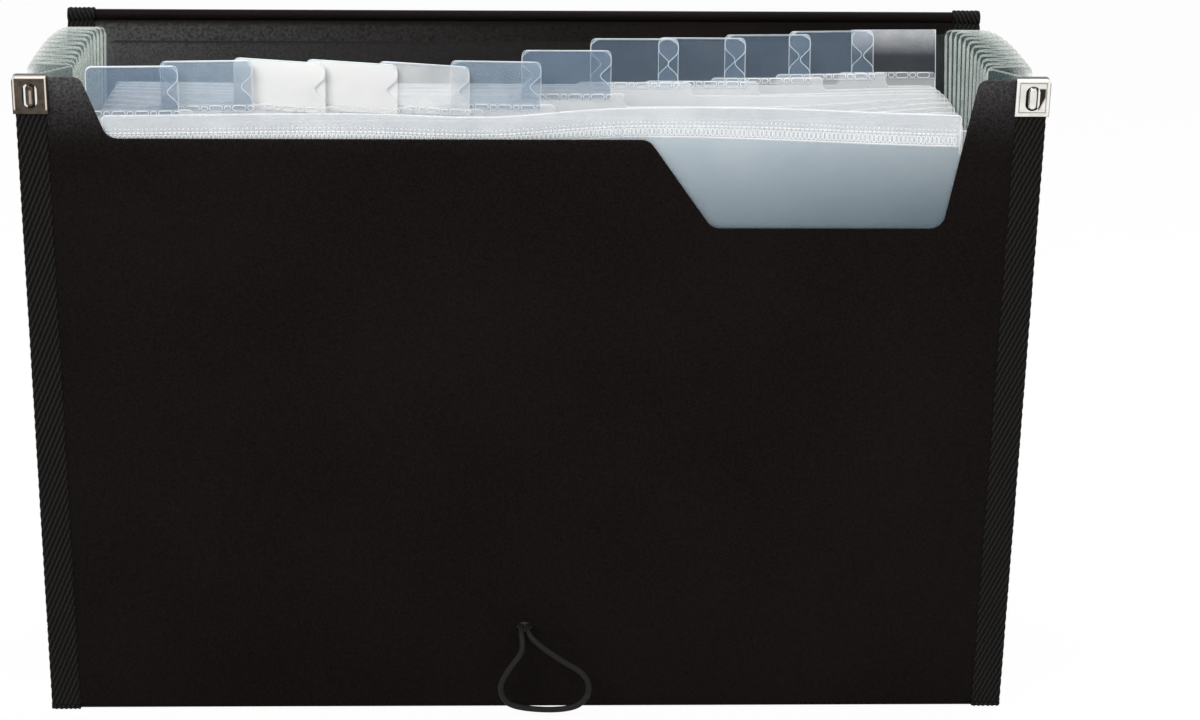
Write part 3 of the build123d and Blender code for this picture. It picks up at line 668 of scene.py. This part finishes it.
def tape_strip(sheet, side, start, end):
    """Tape along a sheet's side, over the front, round the edge and over the rear, as points, faces and map."""
    face = np.arange(tape_inner, half_width - tape_round, tape_step)
    bend = np.radians(np.linspace(90, 0, 5))
    across = np.concatenate((face, half_width - tape_round + tape_round * np.cos(bend)))
    out = np.concatenate((np.full(len(face), tape_out), tape_out - tape_round + tape_round * np.sin(bend)))
    lift_x = np.concatenate((np.zeros(len(face)), np.cos(bend)))
    lift_n = np.concatenate((np.ones(len(face)), np.sin(bend)))
    across, lift_x = (np.concatenate((half, half[::-1])) for half in (across, lift_x))
    out, lift_n = (np.concatenate((half, -half[::-1])) for half in (out, lift_n))
    run = np.concatenate(([0], np.cumsum(np.hypot(np.diff(across), np.diff(out)))))
    heights = np.linspace(start, end, int((end - start) / tape_row) + 2)
    round_edge = side * (tape_inner + run)
    dip = wale_dip(round_edge[None], heights[:, None])
    hem = np.minimum(run, run[-1] - run)
    dip = np.minimum(dip + 0.3 * np.clip(1 - hem / 0.7, 0, 1) ** 2, 0.6)
    sway = 0.5 * (dip - wale_depth) * np.clip(1 - hem, 0, 1)
    lining_x = np.array((tape_inner, lining_edge, lining_edge, tape_inner))
    lining_n = np.array((-lining_out, -lining_out, lining_out, lining_out))
    x, n = (
        np.concatenate((outside, np.broadcast_to(inside, (len(heights), 4))), 1)
        for outside, inside in ((across + sway - dip * lift_x, lining_x), (out - dip * lift_n, lining_n))
    )
    columns = x.shape[1]
    faces = quads(len(heights), columns, wrap=True, turned=side < 0).tolist()
    low = list(range(columns))
    high = [k + (len(heights) - 1) * columns for k in low]
    faces += [low[::-1], high] if side > 0 else [low, high[::-1]]
    uv = tape_map(np.concatenate((round_edge, side * lining_x))[None], heights[:, None])
    return spot(sheet, side * x, heights[:, None], n).reshape(-1, 3), faces, uv


def tape_cup(centre, stretch, side, outer, inner):
    """Tape round the end of a rolled or flat edge: stretch is the flat length between the two rounds."""
    if stretch:
        arc = np.linspace(-np.pi / 2, np.pi / 2, 16)
        straight = np.linspace(0.5, -0.5, 62)[1:-1]
        turn = np.concatenate((arc, np.full(60, np.pi / 2), arc + np.pi, np.full(60, -np.pi / 2)))
        shift = np.concatenate((np.full(16, 0.5), straight, np.full(16, -0.5), -straight)) * stretch
    else:
        turn = np.linspace(-np.pi / 2, 1.5 * np.pi, 40, endpoint=False)
        shift = np.zeros(len(turn))
    ring = len(turn)
    ring_y, ring_z = np.cos(turn), np.sin(turn)
    base_y, base_z = shift + outer * ring_y, outer * ring_z
    run = np.concatenate(([0], np.cumsum(np.hypot(np.diff(base_y), np.diff(base_z)))))
    across = np.concatenate((
        [tape_inner, tape_inner], np.arange(tape_inner + 0.2, half_width - 0.5, tape_step),
        [half_width - 0.2, half_width],
    ))
    size = np.concatenate(([inner, outer - 0.3], np.full(len(across) - 4, outer), [outer - 0.15, outer - 0.5]))
    dip = wale_dip(side * across[:, None], run[None])
    dip[0] = 0
    size = np.concatenate((size[:, None] - dip, np.full((1, ring), inner)), 0)
    across = np.concatenate((across, [lining_edge]))
    points = np.empty((len(across), ring, 3))
    points[..., 0] = side * across[:, None]
    points[..., 1] = shift + size * ring_y
    points[..., 2] = size * ring_z
    points = points * mm
    points[..., 1:] += np.asarray(centre)[1:]
    rows = len(across) - 1
    shell = quads(rows, ring, wrap=True, turned=side < 0)
    low = np.arange(ring)
    lining = edge_walls(low, rows * ring)
    ends = [low + (rows - 1) * ring, low[::-1] + rows * ring]
    if side < 0:
        lining, ends = lining[:, ::-1], [end[::-1] for end in ends]
    uv = tape_map(side * across[:, None], run[None])
    return points.reshape(-1, 3), [*shell.tolist(), *lining.tolist(), *(end.tolist() for end in ends)], uv


def tape_piece(name, body, stands_for, strips=(), cups=()):
    points, faces, uv = gather([tape_strip(*strip) for strip in strips] + [tape_cup(*cup) for cup in cups])
    piece = new_piece(name, points, faces, [twill_black], uv=uv, sharp=60)
    settle(piece, body, "binding_twill", *stands_for)


tape_start = 1.23
base_middle = (front[0] + back[0]) / 2
for name, side in (("left", -1), ("right", 1)):
    tape_piece(f"front_tape_{name}", "front", [f"front_binding_{name}"], [(front, side, tape_start, front_height)])
    tape_piece(f"flap_tape_{name}", "flap", [f"flap_binding_{name}"], [(flap, side, tape_start, flap_length)])
    tape_piece(
        f"back_tape_{name}", "back", [f"back_binding_{name}"], [(back, side, tape_start, 236.1)],
        [(spine[0], 0.0, side, 2.7, 2.02)],
    )
tape_piece(
    "spine_tape", "spine", ["flap_spine_binding"], [(spine, side, 5.0, 43.4) for side in (-1, 1)],
    [(flap[0], 0.0, side, tape_out, lining_out) for side in (-1, 1)],
)
tape_piece(
    "base_tape", "base", ["base_binding"],
    cups=[(base_middle, base_depth, side, tape_out, lining_out) for side in (-1, 1)],
)

# Cover panels, liner, clips and button, with softened edges; the panels reach closer to their creases
crease_reach = 0.22
for name, body, panel_finish, sheet, start in (
    ("base_panel", "base", cover_black, None, 0.0), ("front_panel", "front", front_black, front, 0.75),
    ("back_panel", "back", back_black, back, 0.75), ("flap_spine", "spine", cover_black, spine, 2.25),
    ("flap_panel", "flap", cover_black, flap, 0.75),
):
    panel = merged_copy(name, [panel_finish], 0.12)
    for vertex in panel.data.vertices if sheet else ():
        if (np.array(vertex.co) - sheet[0]).dot(sheet[1]) < (start + 0.2) * mm:
            vertex.co -= Vector(crease_reach * mm * sheet[1])
    settle(panel, body, "cover_black", name)
settle(merged_copy("back_liner", [liner_black], 0.08), "back", "liner_black", "back_liner")


def slot_floor(sheet, outward):
    """Choice of the second finish for the floor of a clip's slot, by its depth in millimetres."""
    foot, _, forward = sheet

    def choose(face):
        depth = (np.array(face.center) - foot).dot(forward) / mm * outward
        return int(1.4 < depth < 1.55 and np.array(face.normal).dot(forward) * outward > 0.9)

    return choose


for panel, sheet, outward, clip_finishes in (
    ("front", front, 1, [clip_nickel, clip_slot_dark]), ("flap", flap, -1, [nickel_plain, slot_plain]),
):
    name = f"{panel}_corner_clips"
    clips = merged_copy(name, clip_finishes, 0.14, slot_floor(sheet, outward))
    settle(clips, panel, "clip_nickel", name)
settle(merged_copy("flap_button", [button_black]), "flap", "button_black", "flap_button")
settle(merged_copy("button_washer", [nickel_plain], 0.15), "flap", "clip_nickel", "button_washer")
settle(merged_copy("loop_anchor", [button_black], 0.12), "front", "button_black", "loop_anchor")
settle(merged_copy("pocket_floor", [gusset_clear]), "base", "clear_gusset", "pocket_floor")


# Clear sheets: thin closed films on a grid, gently bowed, with bright edges that are a painted highlight of light
# caught in their cut edges
def film(sheet, x, s, out, thickness, sway, gap=None):
    """Points, faces and rim marks of a film; x and s are rows by columns, sway gives (up, out) in millimetres."""
    rows, columns = x.shape
    lift, bulge = sway(x, s)
    skins = [out + thickness / 2, out - thickness / 2]
    points = np.concatenate([spot(sheet, x, s + lift, bulge + skin).reshape(-1, 3) for skin in skins])
    count = rows * columns
    near = quads(rows, columns)
    far = quads(rows, columns, count, turned=True)
    walls = edge_walls(grid_rim(rows, columns), count)
    i, j = np.meshgrid(np.arange(rows - 1), np.arange(columns - 1), indexing="ij")
    painted_edge_light = ((i >= rows - 2) | (j < 2) | (j >= columns - 3)).astype(np.int32).ravel()
    if gap:
        (r0, r1), (c0, c1) = gap
        keep = np.ones((rows - 1, columns - 1), dtype=bool)
        keep[r0:r1, c0:c1] = False
        near, far, painted_edge_light = (each[keep.ravel()] for each in (near, far, painted_edge_light))
        hole = grid_rim(r1 - r0 + 1, c1 - c0 + 1, r0 * columns + c0, columns)
        walls = np.concatenate((walls, edge_walls(hole, count)[:, [1, 0, 3, 2]]))
    marks = np.concatenate((painted_edge_light, painted_edge_light, np.ones(len(walls), dtype=np.int32)))
    return points, np.concatenate((near, far, walls)), marks


def smooth(value, start, end):
    """Share from 0 to 1 with soft ends."""
    share = np.clip((value - start) / (end - start), 0, 1)
    return share * share * (3 - 2 * share)


# How far each leaf's ends droop, its middle bows to the front and settles, and it slants at its tab, in millimetres
leaf_droop = (0.75, 0.55, 0.35, 0.2, 0.1, 0.1, 0.1, 0.1, 0.1, 0.1, 0.1, 0.1)
leaf_bow = (0.0, 0.0, 3.0, 7.0, 12.5, 18.5, 15.5, 6.0, 6.0, 5.0, 3.0, 0.0)
leaf_settle = (0.0, 0.0, 0.8, 1.5, 2.2, 1.7, 0.8, 0.3, 1.2, 1.3, 0.9, 0.6)
leaf_slant = (0.0, 0.0, 1.0, 1.1, 1.0, 0.2, 0.0, 0.0, 0.0, 0.0, 0.0, 0.0)


def front_sway(x, s):
    """How far the front sheet lies up and out: its top line waves and droops towards the ends."""
    u = x / leaf_half
    share = np.clip(s / leaf_top, 0, 1.1)
    lift = 1.8 * smooth(u, -0.1, 0.25) - 3.0 * smooth(u, 0.25, 1.05) - 1.0 * smooth(-u, 0.3, 1.0)
    lift = share * (lift - 1.2 * np.exp(-(((u + 0.12) / 0.18) ** 2)))
    lift = lift + smooth(u, 0.2, 0.6) * smooth(s, 212.0, 222.0)
    bulge = -0.8 * share**2 * np.clip(1 - u * u, 0, 1) * (0.6 + 0.4 * np.sin(5 * u))
    return lift, bulge


def leaf_sway(number):
    """How far a leaf lies up and out, as a function of places on it."""
    droop, bow, drop, slant = (sizes[number - 1] for sizes in (leaf_droop, leaf_bow, leaf_settle, leaf_slant))
    tab_x = tab_places[number - 1]

    def sway(x, s):
        u = x / leaf_half
        share = np.clip(s / leaf_top, 0, 1.1)
        middle = smooth(1 - np.abs(u), 0.0, 0.5)
        lift = -droop * share * (4.0 * smooth(u, 0.15, 1.05) + 1.6 * smooth(-u, 0.3, 1.0)) - drop * share * middle
        lift = lift - slant * share * np.sin((x - tab_x) / 12.0) * np.exp(-(((x - tab_x) / 26.0) ** 2))
        bulge = 0.5 * share**2 * np.clip(1 - u * u, 0, 1) * np.sin(4.4 * u + 0.5 + 0.14 * number)
        return lift, bulge + bow * share**2 * middle

    return sway


def flatten(piece, number):
    """A bowed leaf, and what it carries, gets a mesh of its own."""
    if leaf_bow[number - 1]:
        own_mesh(piece)


sheet_corner = 1.4


def stepped_top(left, right, level, half, rise):
    """Top edge from end to end as (x, height) with rounded corners and a raised carrier."""
    bend = np.radians(np.linspace(0, 90, 5))
    early, late = sheet_corner * (1 - np.cos(bend)), sheet_corner * (1 - np.sin(bend))
    high = level + rise
    if left > -half + 1:
        arcs = [(-half + early, level - late), (left - late, level + early), (left + early, high - late)]
    else:
        arcs = [(-half + early, high - late)]
    if right < half - 1:
        arcs += [(right - late, high - early), (right + early, level + late), (half - late, level - early)]
    else:
        arcs += [(half - late, high - early)]
    line = np.concatenate([np.stack(arc, -1) for arc in arcs])
    filled = []
    for start, end in zip(line, line[1:]):
        pieces = max(1, int((end[0] - start[0]) / 7))
        filled += [start + (end - start) * k / pieces for k in range(pieces)]
    return np.array([*filled, line[-1]])


def sheet_grid(top, half_top, levels, extra_rows):
    """Rows of a sheet: levels are (height, half width) below its neck, then rows up to its stepped top."""
    shares = (*np.linspace(0, 1, extra_rows + 1)[1:-1], 0.98, 1.0)
    neck = levels[-1][0]
    rows_x = [top[:, 0] * half / half_top for _, half in levels] + [top[:, 0] for _ in shares]
    rows_s = [np.full(len(top), height) for height, _ in levels]
    rows_s += [neck + (top[:, 1] - neck) * share for share in shares]
    return np.array(rows_x), np.array(rows_s)


def mark_above(grid, faces, marks, start):
    """A third finish on the unmarked faces whose lower row lies at or above a height in millimetres."""
    rows = faces.min(1) % grid.size // grid.shape[1]
    marks[(marks == 0) & (grid.mean(1)[rows] > start)] = 2


shoulder, neck_rise, neck_cut, carrier_half = leaf_top - 22.0, 2.7, 2.5, 19.5
for number in range(1, leaf_count + 1):
    neck = leaf_neck_half - (neck_cut if 1 < number < leaf_count else 0.0)
    leaf_levels = [(h, leaf_half) for h in np.linspace(0, shoulder, 9)] + [(shoulder + neck_rise, neck)]
    left = max(tab_places[number - 1] - carrier_half, -neck)
    right_end = min(tab_places[number - 1] + carrier_half, neck)
    top = stepped_top(left, right_end, leaf_top, neck, carrier_rise)
    x, s = sheet_grid(top, neck, leaf_levels, 5)
    points, faces, marks = film(leaves[number - 1], x, s, 0.0, leaf_thickness, leaf_sway(number))
    if number > 7:
        mark_above(s, faces, marks, 196.0)
    leaf = new_piece(f"leaf_sheet_{number:02d}", points, faces, [sheet_clear, sheet_edge, sheet_top], marks, sharp=50)
    settle(leaf, f"leaf_{number:02d}", "clear_sheet", f"divider_{number:02d}")
    flatten(leaf, number)

# Front sheet, with a gap round the loop's anchor, and the hem folded over its top
front_top, hem_half, hem_height, hem_rise, front_film = 222.5, 138.0, 10.0, 4.0, 0.35
anchor_gap = (-10.5, 7.5)
hem_low = front_top - hem_height
hem_top = stepped_top(-hem_half, hem_half, front_top - hem_rise, hem_half, hem_rise)
columns = np.sort(np.concatenate((hem_top[:, 0], anchor_gap)))
top = np.stack((columns, np.interp(columns, hem_top[:, 0], hem_top[:, 1])), -1)
front_rows = (6.0, 15.0, 26.0, 36.0, 60.0, 90.0, 120.0, 150.0, 175.0, 200.5)
front_levels = [(h, leaf_half) for h in front_rows] + [(210.2, hem_half), (212.3, hem_half)]
x, s = sheet_grid(top, hem_half, front_levels, 4)
gap_columns = tuple(int(np.searchsorted(columns, edge)) for edge in anchor_gap)
points, faces, marks = film(front, x, s, -0.725, front_film, front_sway, ((2, 3), gap_columns))
mark_above(s, faces, marks, 212.0)
sheet = new_piece("front_pocket_sheet", points, faces, [sheet_front, hem_edge, hem_film], marks, sharp=50)
settle(sheet, "front", "clear_sheet", "front_sheet")

low = hem_low + front_top - hem_top[:, 1]
shares = np.array((0, 0.05, 0.35, 0.65, 0.95, 1))[:, None]
x = np.broadcast_to(hem_top[:, 0], (len(shares), len(hem_top)))
s = low + (hem_top[:, 1] - low) * shares
points, faces, marks = film(front, x, s, -1.09, front_film, front_sway)
hem = new_piece("front_sheet_hem", points, faces, [hem_film, hem_edge], marks, sharp=50)
settle(hem, "front", "clear_sheet")


# Weld marks: rows of rounded rings, made flat in millimetres and then laid on their sheet
def weld_row_tree():
    """Geometry nodes for one row of rings, and the names of the sockets that it is given."""
    tree = bpy.data.node_groups.new("weld_row", "GeometryNodeTree")
    sockets = {}
    for name, kind in (
        ("Ring length", "Float"), ("Ring height", "Float"), ("Corner", "Float"), ("Bead", "Float"),
        ("Pitch", "Vector"), ("Start", "Vector"), ("Count", "Int"), ("Finish", "Material"),
    ):
        made = tree.interface.new_socket(name, in_out="INPUT", socket_type=f"NodeSocket{kind}")
        sockets[name] = made.identifier
    tree.interface.new_socket("Geometry", in_out="OUTPUT", socket_type="NodeSocketGeometry")
    given = tree.nodes.new("NodeGroupInput").outputs

    def step(kind, *links, **settings):
        return new_node(tree, kind, links, **settings).outputs

    ring = step(
        "GeometryNodeCurvePrimitiveQuadrilateral", ("Width", given["Ring length"]), ("Height", given["Ring height"]),
    )
    rounded = step(
        "GeometryNodeFilletCurve", ("Curve", ring["Curve"]), ("Radius", given["Corner"]),
        mode="POLY", Count=3, Limit_Radius=True,
    )
    section = step("GeometryNodeCurvePrimitiveCircle", ("Radius", given["Bead"]), Resolution=3)
    bead = step("GeometryNodeCurveToMesh", ("Curve", rounded["Curve"]), ("Profile Curve", section["Curve"]))
    row = step(
        "GeometryNodeMeshLine", ("Count", given["Count"]), ("Start Location", given["Start"]),
        ("Offset", given["Pitch"]),
    )
    placed = step("GeometryNodeInstanceOnPoints", ("Points", row["Mesh"]), ("Instance", bead["Mesh"]))
    real = step("GeometryNodeRealizeInstances", ("Geometry", placed["Instances"]))
    made = step("GeometryNodeSetMaterial", ("Geometry", real["Geometry"]), ("Material", given["Finish"]))
    step("NodeGroupOutput", ("Geometry", made["Geometry"]))
    return tree, sockets


weld_tree, weld_sockets = weld_row_tree()


def weld_row(length, height, bead, pitch, start, count, weld_finish):
    """Vertices in flat millimetres and faces of one row of rings."""
    holder = link_object("weld_row", bpy.data.meshes.new("weld_row"))
    modifier = holder.modifiers.new("weld_row", "NODES")
    modifier.node_group = weld_tree
    for name, value in (
        ("Ring length", length), ("Ring height", height), ("Corner", 0.45 * min(length, height)), ("Bead", bead),
        ("Pitch", (pitch, 0.0, 0.0)), ("Start", (*start, 0.0)), ("Count", count), ("Finish", weld_finish),
    ):
        modifier[weld_sockets[name]] = value
    made = bpy.data.meshes.new_from_object(holder.evaluated_get(bpy.context.evaluated_depsgraph_get()))
    flat = np.array([vertex.co for vertex in made.vertices])
    faces = [list(face.vertices) for face in made.polygons]
    bpy.data.objects.remove(holder)
    return flat, faces


def weld_piece(name, body, sheet, out, sway, rows, weld_finish, rise=0.6):
    """Rows of rings laid on a sheet that sways, pressed to a share of their thickness."""
    patches = []
    for row in rows:
        flat, faces = weld_row(*row, weld_finish)
        lift, bulge = sway(flat[:, 0], flat[:, 1])
        patches.append((spot(sheet, flat[:, 0], flat[:, 1] + lift, out + bulge + rise * flat[:, 2]), faces, ()))
    points, faces, _ = gather(patches)
    piece = new_piece(name, points, faces, [weld_finish], sharp=80)
    return settle(piece, body, "clear_sheet")


chain_pitch, chain_start, chain_count = 1.45, -136.6, 189
chain_rings = ((1.45, 0.02, 0.11, 0.3), (0.95, 2.2, 0.13, 2.0), (0.75, 0.16, 0.13, 3.9), (0.2, 0.2, 0.11, 5.2))
weld_piece("hem_chain", "front", front, -0.55, front_sway, [
    (length, height, bead, chain_pitch, (chain_start, hem_low + above), chain_count)
    for length, height, bead, above in chain_rings
], weld_soft, 0.2)

# Tabs: two-layer sleeves on their leaves, with a welded row along the foot
# Tabs 3 to 5 take whiter films with painted glare, and tab 12 a film with a painted reflection over its top
tab_films = {
    1: tab_blue, 2: tab_pale, 3: tab_hazed, 4: tab_hazed, 5: tab_misted, 6: tab_pale, 7: tab_blue, 12: tab_rear,
}
tab_weld_rise, tab_weld_reach, tab_weld_pitch = 3.4, 12.2, 7.6


def tab_tests(leaf):
    """Tests for a tab's edge faces, its faces to the front and the edges at its top corners."""
    foot, upward, forward = leaf

    def edge_face(face):
        return int(abs(np.array(face.normal).dot(forward)) < 0.7)

    def lies_out(face):
        return np.array(face.normal).dot(forward) > 0.9

    def top_corner(edge):
        run = np.array(edge.verts[1].co - edge.verts[0].co)
        high = (np.array(edge.verts[0].co) - foot).dot(upward) > (leaf_top + 12.0) * mm
        return high and abs(run.dot(forward)) > 0.95 * np.linalg.norm(run) and edge.calc_face_angle() > radians(70)

    return edge_face, lies_out, top_corner


for number, leaf in enumerate(leaves, 1):
    sway = leaf_sway(number)
    last = number == leaf_count
    edge_face, lies_out, top_corner = tab_tests(leaf)
    tab = merged_copy(
        f"tab_{number:02d}", [tab_films.get(number, tab_clear), tab_edge], choose=edge_face, outline=lies_out,
        corners=None if last else top_corner,
    )
    for vertex in tab.data.vertices:
        place = np.array(vertex.co)
        lift, bulge = sway(place[0] / mm, (place - leaf[0]).dot(leaf[1]) / mm)
        vertex.co = place + mm * (lift * leaf[1] + bulge * leaf[2])
    settle(tab, f"leaf_{number:02d}", "clear_tab", f"tab_{number:02d}")
    flatten(tab, number)
    foot = leaf_top + tab_weld_rise
    start = tab_places[number - 1] - tab_weld_reach
    weld = weld_piece(f"tab_weld_{number:02d}", f"leaf_{number:02d}", leaf, 0.5, sway, [
        (4.3, 1.7, 0.14, tab_weld_pitch, (start, foot), 4),
        (2.0, 1.5, 0.14, tab_weld_pitch, (start + tab_weld_pitch / 2, foot), 3 if last else 4),
    ], weld_white)
    flatten(weld, number)

# Gussets: a folded pleat at each end of every pocket, with a welded rim along its edges that is painted bright as a
# highlight of light caught there, and painted shade on the pleats at the right end
gusset_inner, gusset_leg, gusset_top, gusset_foot = leaf_half + 0.45, 16.0, 232.0, 7.0
gusset_corner, gusset_gap, gusset_film, half_ridge = 2.6, 0.18, 0.3, 0.25


def corner_drop(distance):
    """How far a rounded corner lies below its top at a distance from its side, in millimetres."""
    return gusset_corner - np.sqrt(gusset_corner**2 - np.clip(gusset_corner - distance, 0, None) ** 2)


def gusset_pleat(near, far, near_back, far_front, side):
    """Points, faces and marks of the pleat between two sheets on one side: an outer and an inner skin."""
    low_rows = np.linspace(gusset_foot, gusset_top - 5.0, 9)
    heights = np.concatenate((low_rows, np.linspace(gusset_top - 4.0, gusset_top, 9)))
    run = np.concatenate(([0.0, 0.9, 1.8, 3.0], np.linspace(4.5, 13.0, 4), np.linspace(13.6, gusset_leg, 6)))
    legs = run / gusset_leg
    drop = corner_drop(legs * gusset_leg) + corner_drop((1 - legs) * gusset_leg)
    rows = heights[:, None] - drop * smooth(heights, gusset_top - 5.0, gusset_top)[:, None]
    crease = front[0][2]
    near_edge = spot(near, 0.0, rows - (near[0][2] - crease) / mm, -near_back - gusset_gap)
    far_edge = spot(far, 0.0, rows - (far[0][2] - crease) / mm, far_front + gusset_gap)
    span = far_edge - near_edge
    gap = np.linalg.norm(span, axis=-1) / mm
    across = span / (gap[..., None] * mm)
    middle = (near_edge + far_edge) / 2
    half = gap / 2
    depth = np.sqrt(gusset_leg**2 - half**2)
    wall = gusset_film * gusset_leg / depth
    outer = gusset_inner + legs * depth, half - (half - half_ridge) * legs
    inner = gusset_inner + legs * depth * (half - wall) / half, (half - wall) * (1 - legs)
    shells = []
    for x, y in (outer, inner):
        skins = [middle + mm * sign * y[..., None] * across for sign in (-1, 1)]
        for skin in skins:
            skin[..., 0] = side * mm * x
        shells.append(np.concatenate((skins[0], skins[1][:, ::-1]), 1))
    count, columns = shells[0].shape[:2]
    total = count * columns
    turned = side < 0
    walls = edge_walls(grid_rim(count, columns), total)
    faces = np.concatenate((
        quads(count, columns, turned=turned), quads(count, columns, total, turned=not turned),
        walls[:, ::-1] if turned else walls,
    ))
    i, j = np.meshgrid(np.arange(count - 1), np.arange(columns - 1), indexing="ij")
    weld_and_edge_light = (i >= count - 2) | (j < 1) | (j >= columns - 2)
    # Painted shade: the middle of the right pleats' legs takes the darker gusset film
    shaded = (side > 0) & (abs(j - columns // 2 + 1) > 7)
    zones = np.where(weld_and_edge_light, 1, np.where(shaded, 2, 0)).ravel()
    marks = np.concatenate((zones, zones, np.ones(len(walls), dtype=int)))
    return np.concatenate(shells).reshape(-1, 3), faces.tolist(), marks


sheets = [front, *leaves, back]
for number, (near, far) in enumerate(zip(sheets, sheets[1:]), 1):
    last = number > leaf_count
    near_back = 0.9 if number == 1 else 0.0
    far_front = 1.0 if last else 0.0
    points, faces, marks = gather([gusset_pleat(near, far, near_back, far_front, side) for side in (-1, 1)])
    pleat = new_piece(
        f"gusset_pleat_{number:02d}", points, faces, [gusset_clear, gusset_rim, gusset_deep], marks * (not last),
        sharp=50,
    )
    body = "back" if last else f"leaf_{number:02d}"
    settle(pleat, body, "clear_gusset", f"gusset_{number:02d}")
    mouth = np.linalg.norm(spot(far, 0.0, 230.0, 0.0) - spot(near, 0.0, 230.0, 0.0)) / mm
    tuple(far[2])
    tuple(far[0])
    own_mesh(pleat)


# Floor, background and studio light
def seen_share(material):
    """One for rays from the camera, from mirrors and through clear films, and zero for rays that light the object."""
    ray = add(material, "ShaderNodeLightPath").outputs
    through = sums(material, "MAXIMUM", ray["Is Transmission Ray"], ray["Is Glossy Ray"])
    return sums(material, "MAXIMUM", ray["Is Camera Ray"], through)


floor_mesh = bpy.data.meshes.new("floor")
floor_mesh.from_pydata([(-6, -6, 0), (6, -6, 0), (6, 6, 0), (-6, 6, 0)], [], [(0, 1, 2, 3)])
floor = link_object("floor", floor_mesh)
paper = finish("floor_paper", Base_Color=(0.86, 0.86, 0.86, 1), Roughness=0.9, Specular_IOR_Level=0.0)
floor_mesh.materials.append(paper)
glow = add(paper, "ShaderNodeEmission", Color=(1, 1, 1, 1), Strength=1.0)
blend = add(paper, "ShaderNodeMixShader", [
    (0, times(paper, seen_share(paper), 0.96)), (1, shader_of(paper).outputs[0]), (2, glow.outputs[0]),
])
paper.node_tree.links.new(blend.outputs[0], paper.node_tree.nodes["Material Output"].inputs["Surface"])

world = bpy.data.worlds.new("studio")
scene.world = world
world.use_nodes = True
background = world.node_tree.nodes["Background"].inputs
background["Color"].default_value = (1, 1, 1, 1)
world.node_tree.links.new(spread(world, seen_share(world), 0.5, 1.0, 0.0, 1.0), background["Strength"])


def softbox(name, place, aim, size, watts):
    """Area light at a place, aimed at another."""
    lamp = bpy.data.lights.new(name, "AREA")
    lamp.shape = "RECTANGLE"
    lamp.size, lamp.size_y = size
    lamp.energy = watts
    piece = link_object(name, lamp)
    piece.location = place
    piece.rotation_euler = (Vector(aim) - Vector(place)).to_track_quat("-Z", "Y").to_euler()


softbox("key_softbox", (-0.9, -1.5, 1.3), (0, 0, 0.15), (1.0, 0.8), 34)
softbox("top_softbox", (0.2, 0.1, 1.7), (0, 0, 0.1), (1.2, 1.0), 20)
softbox("fill_softbox", (1.4, -1.2, 0.9), (0, 0, 0.15), (0.8, 0.8), 8)
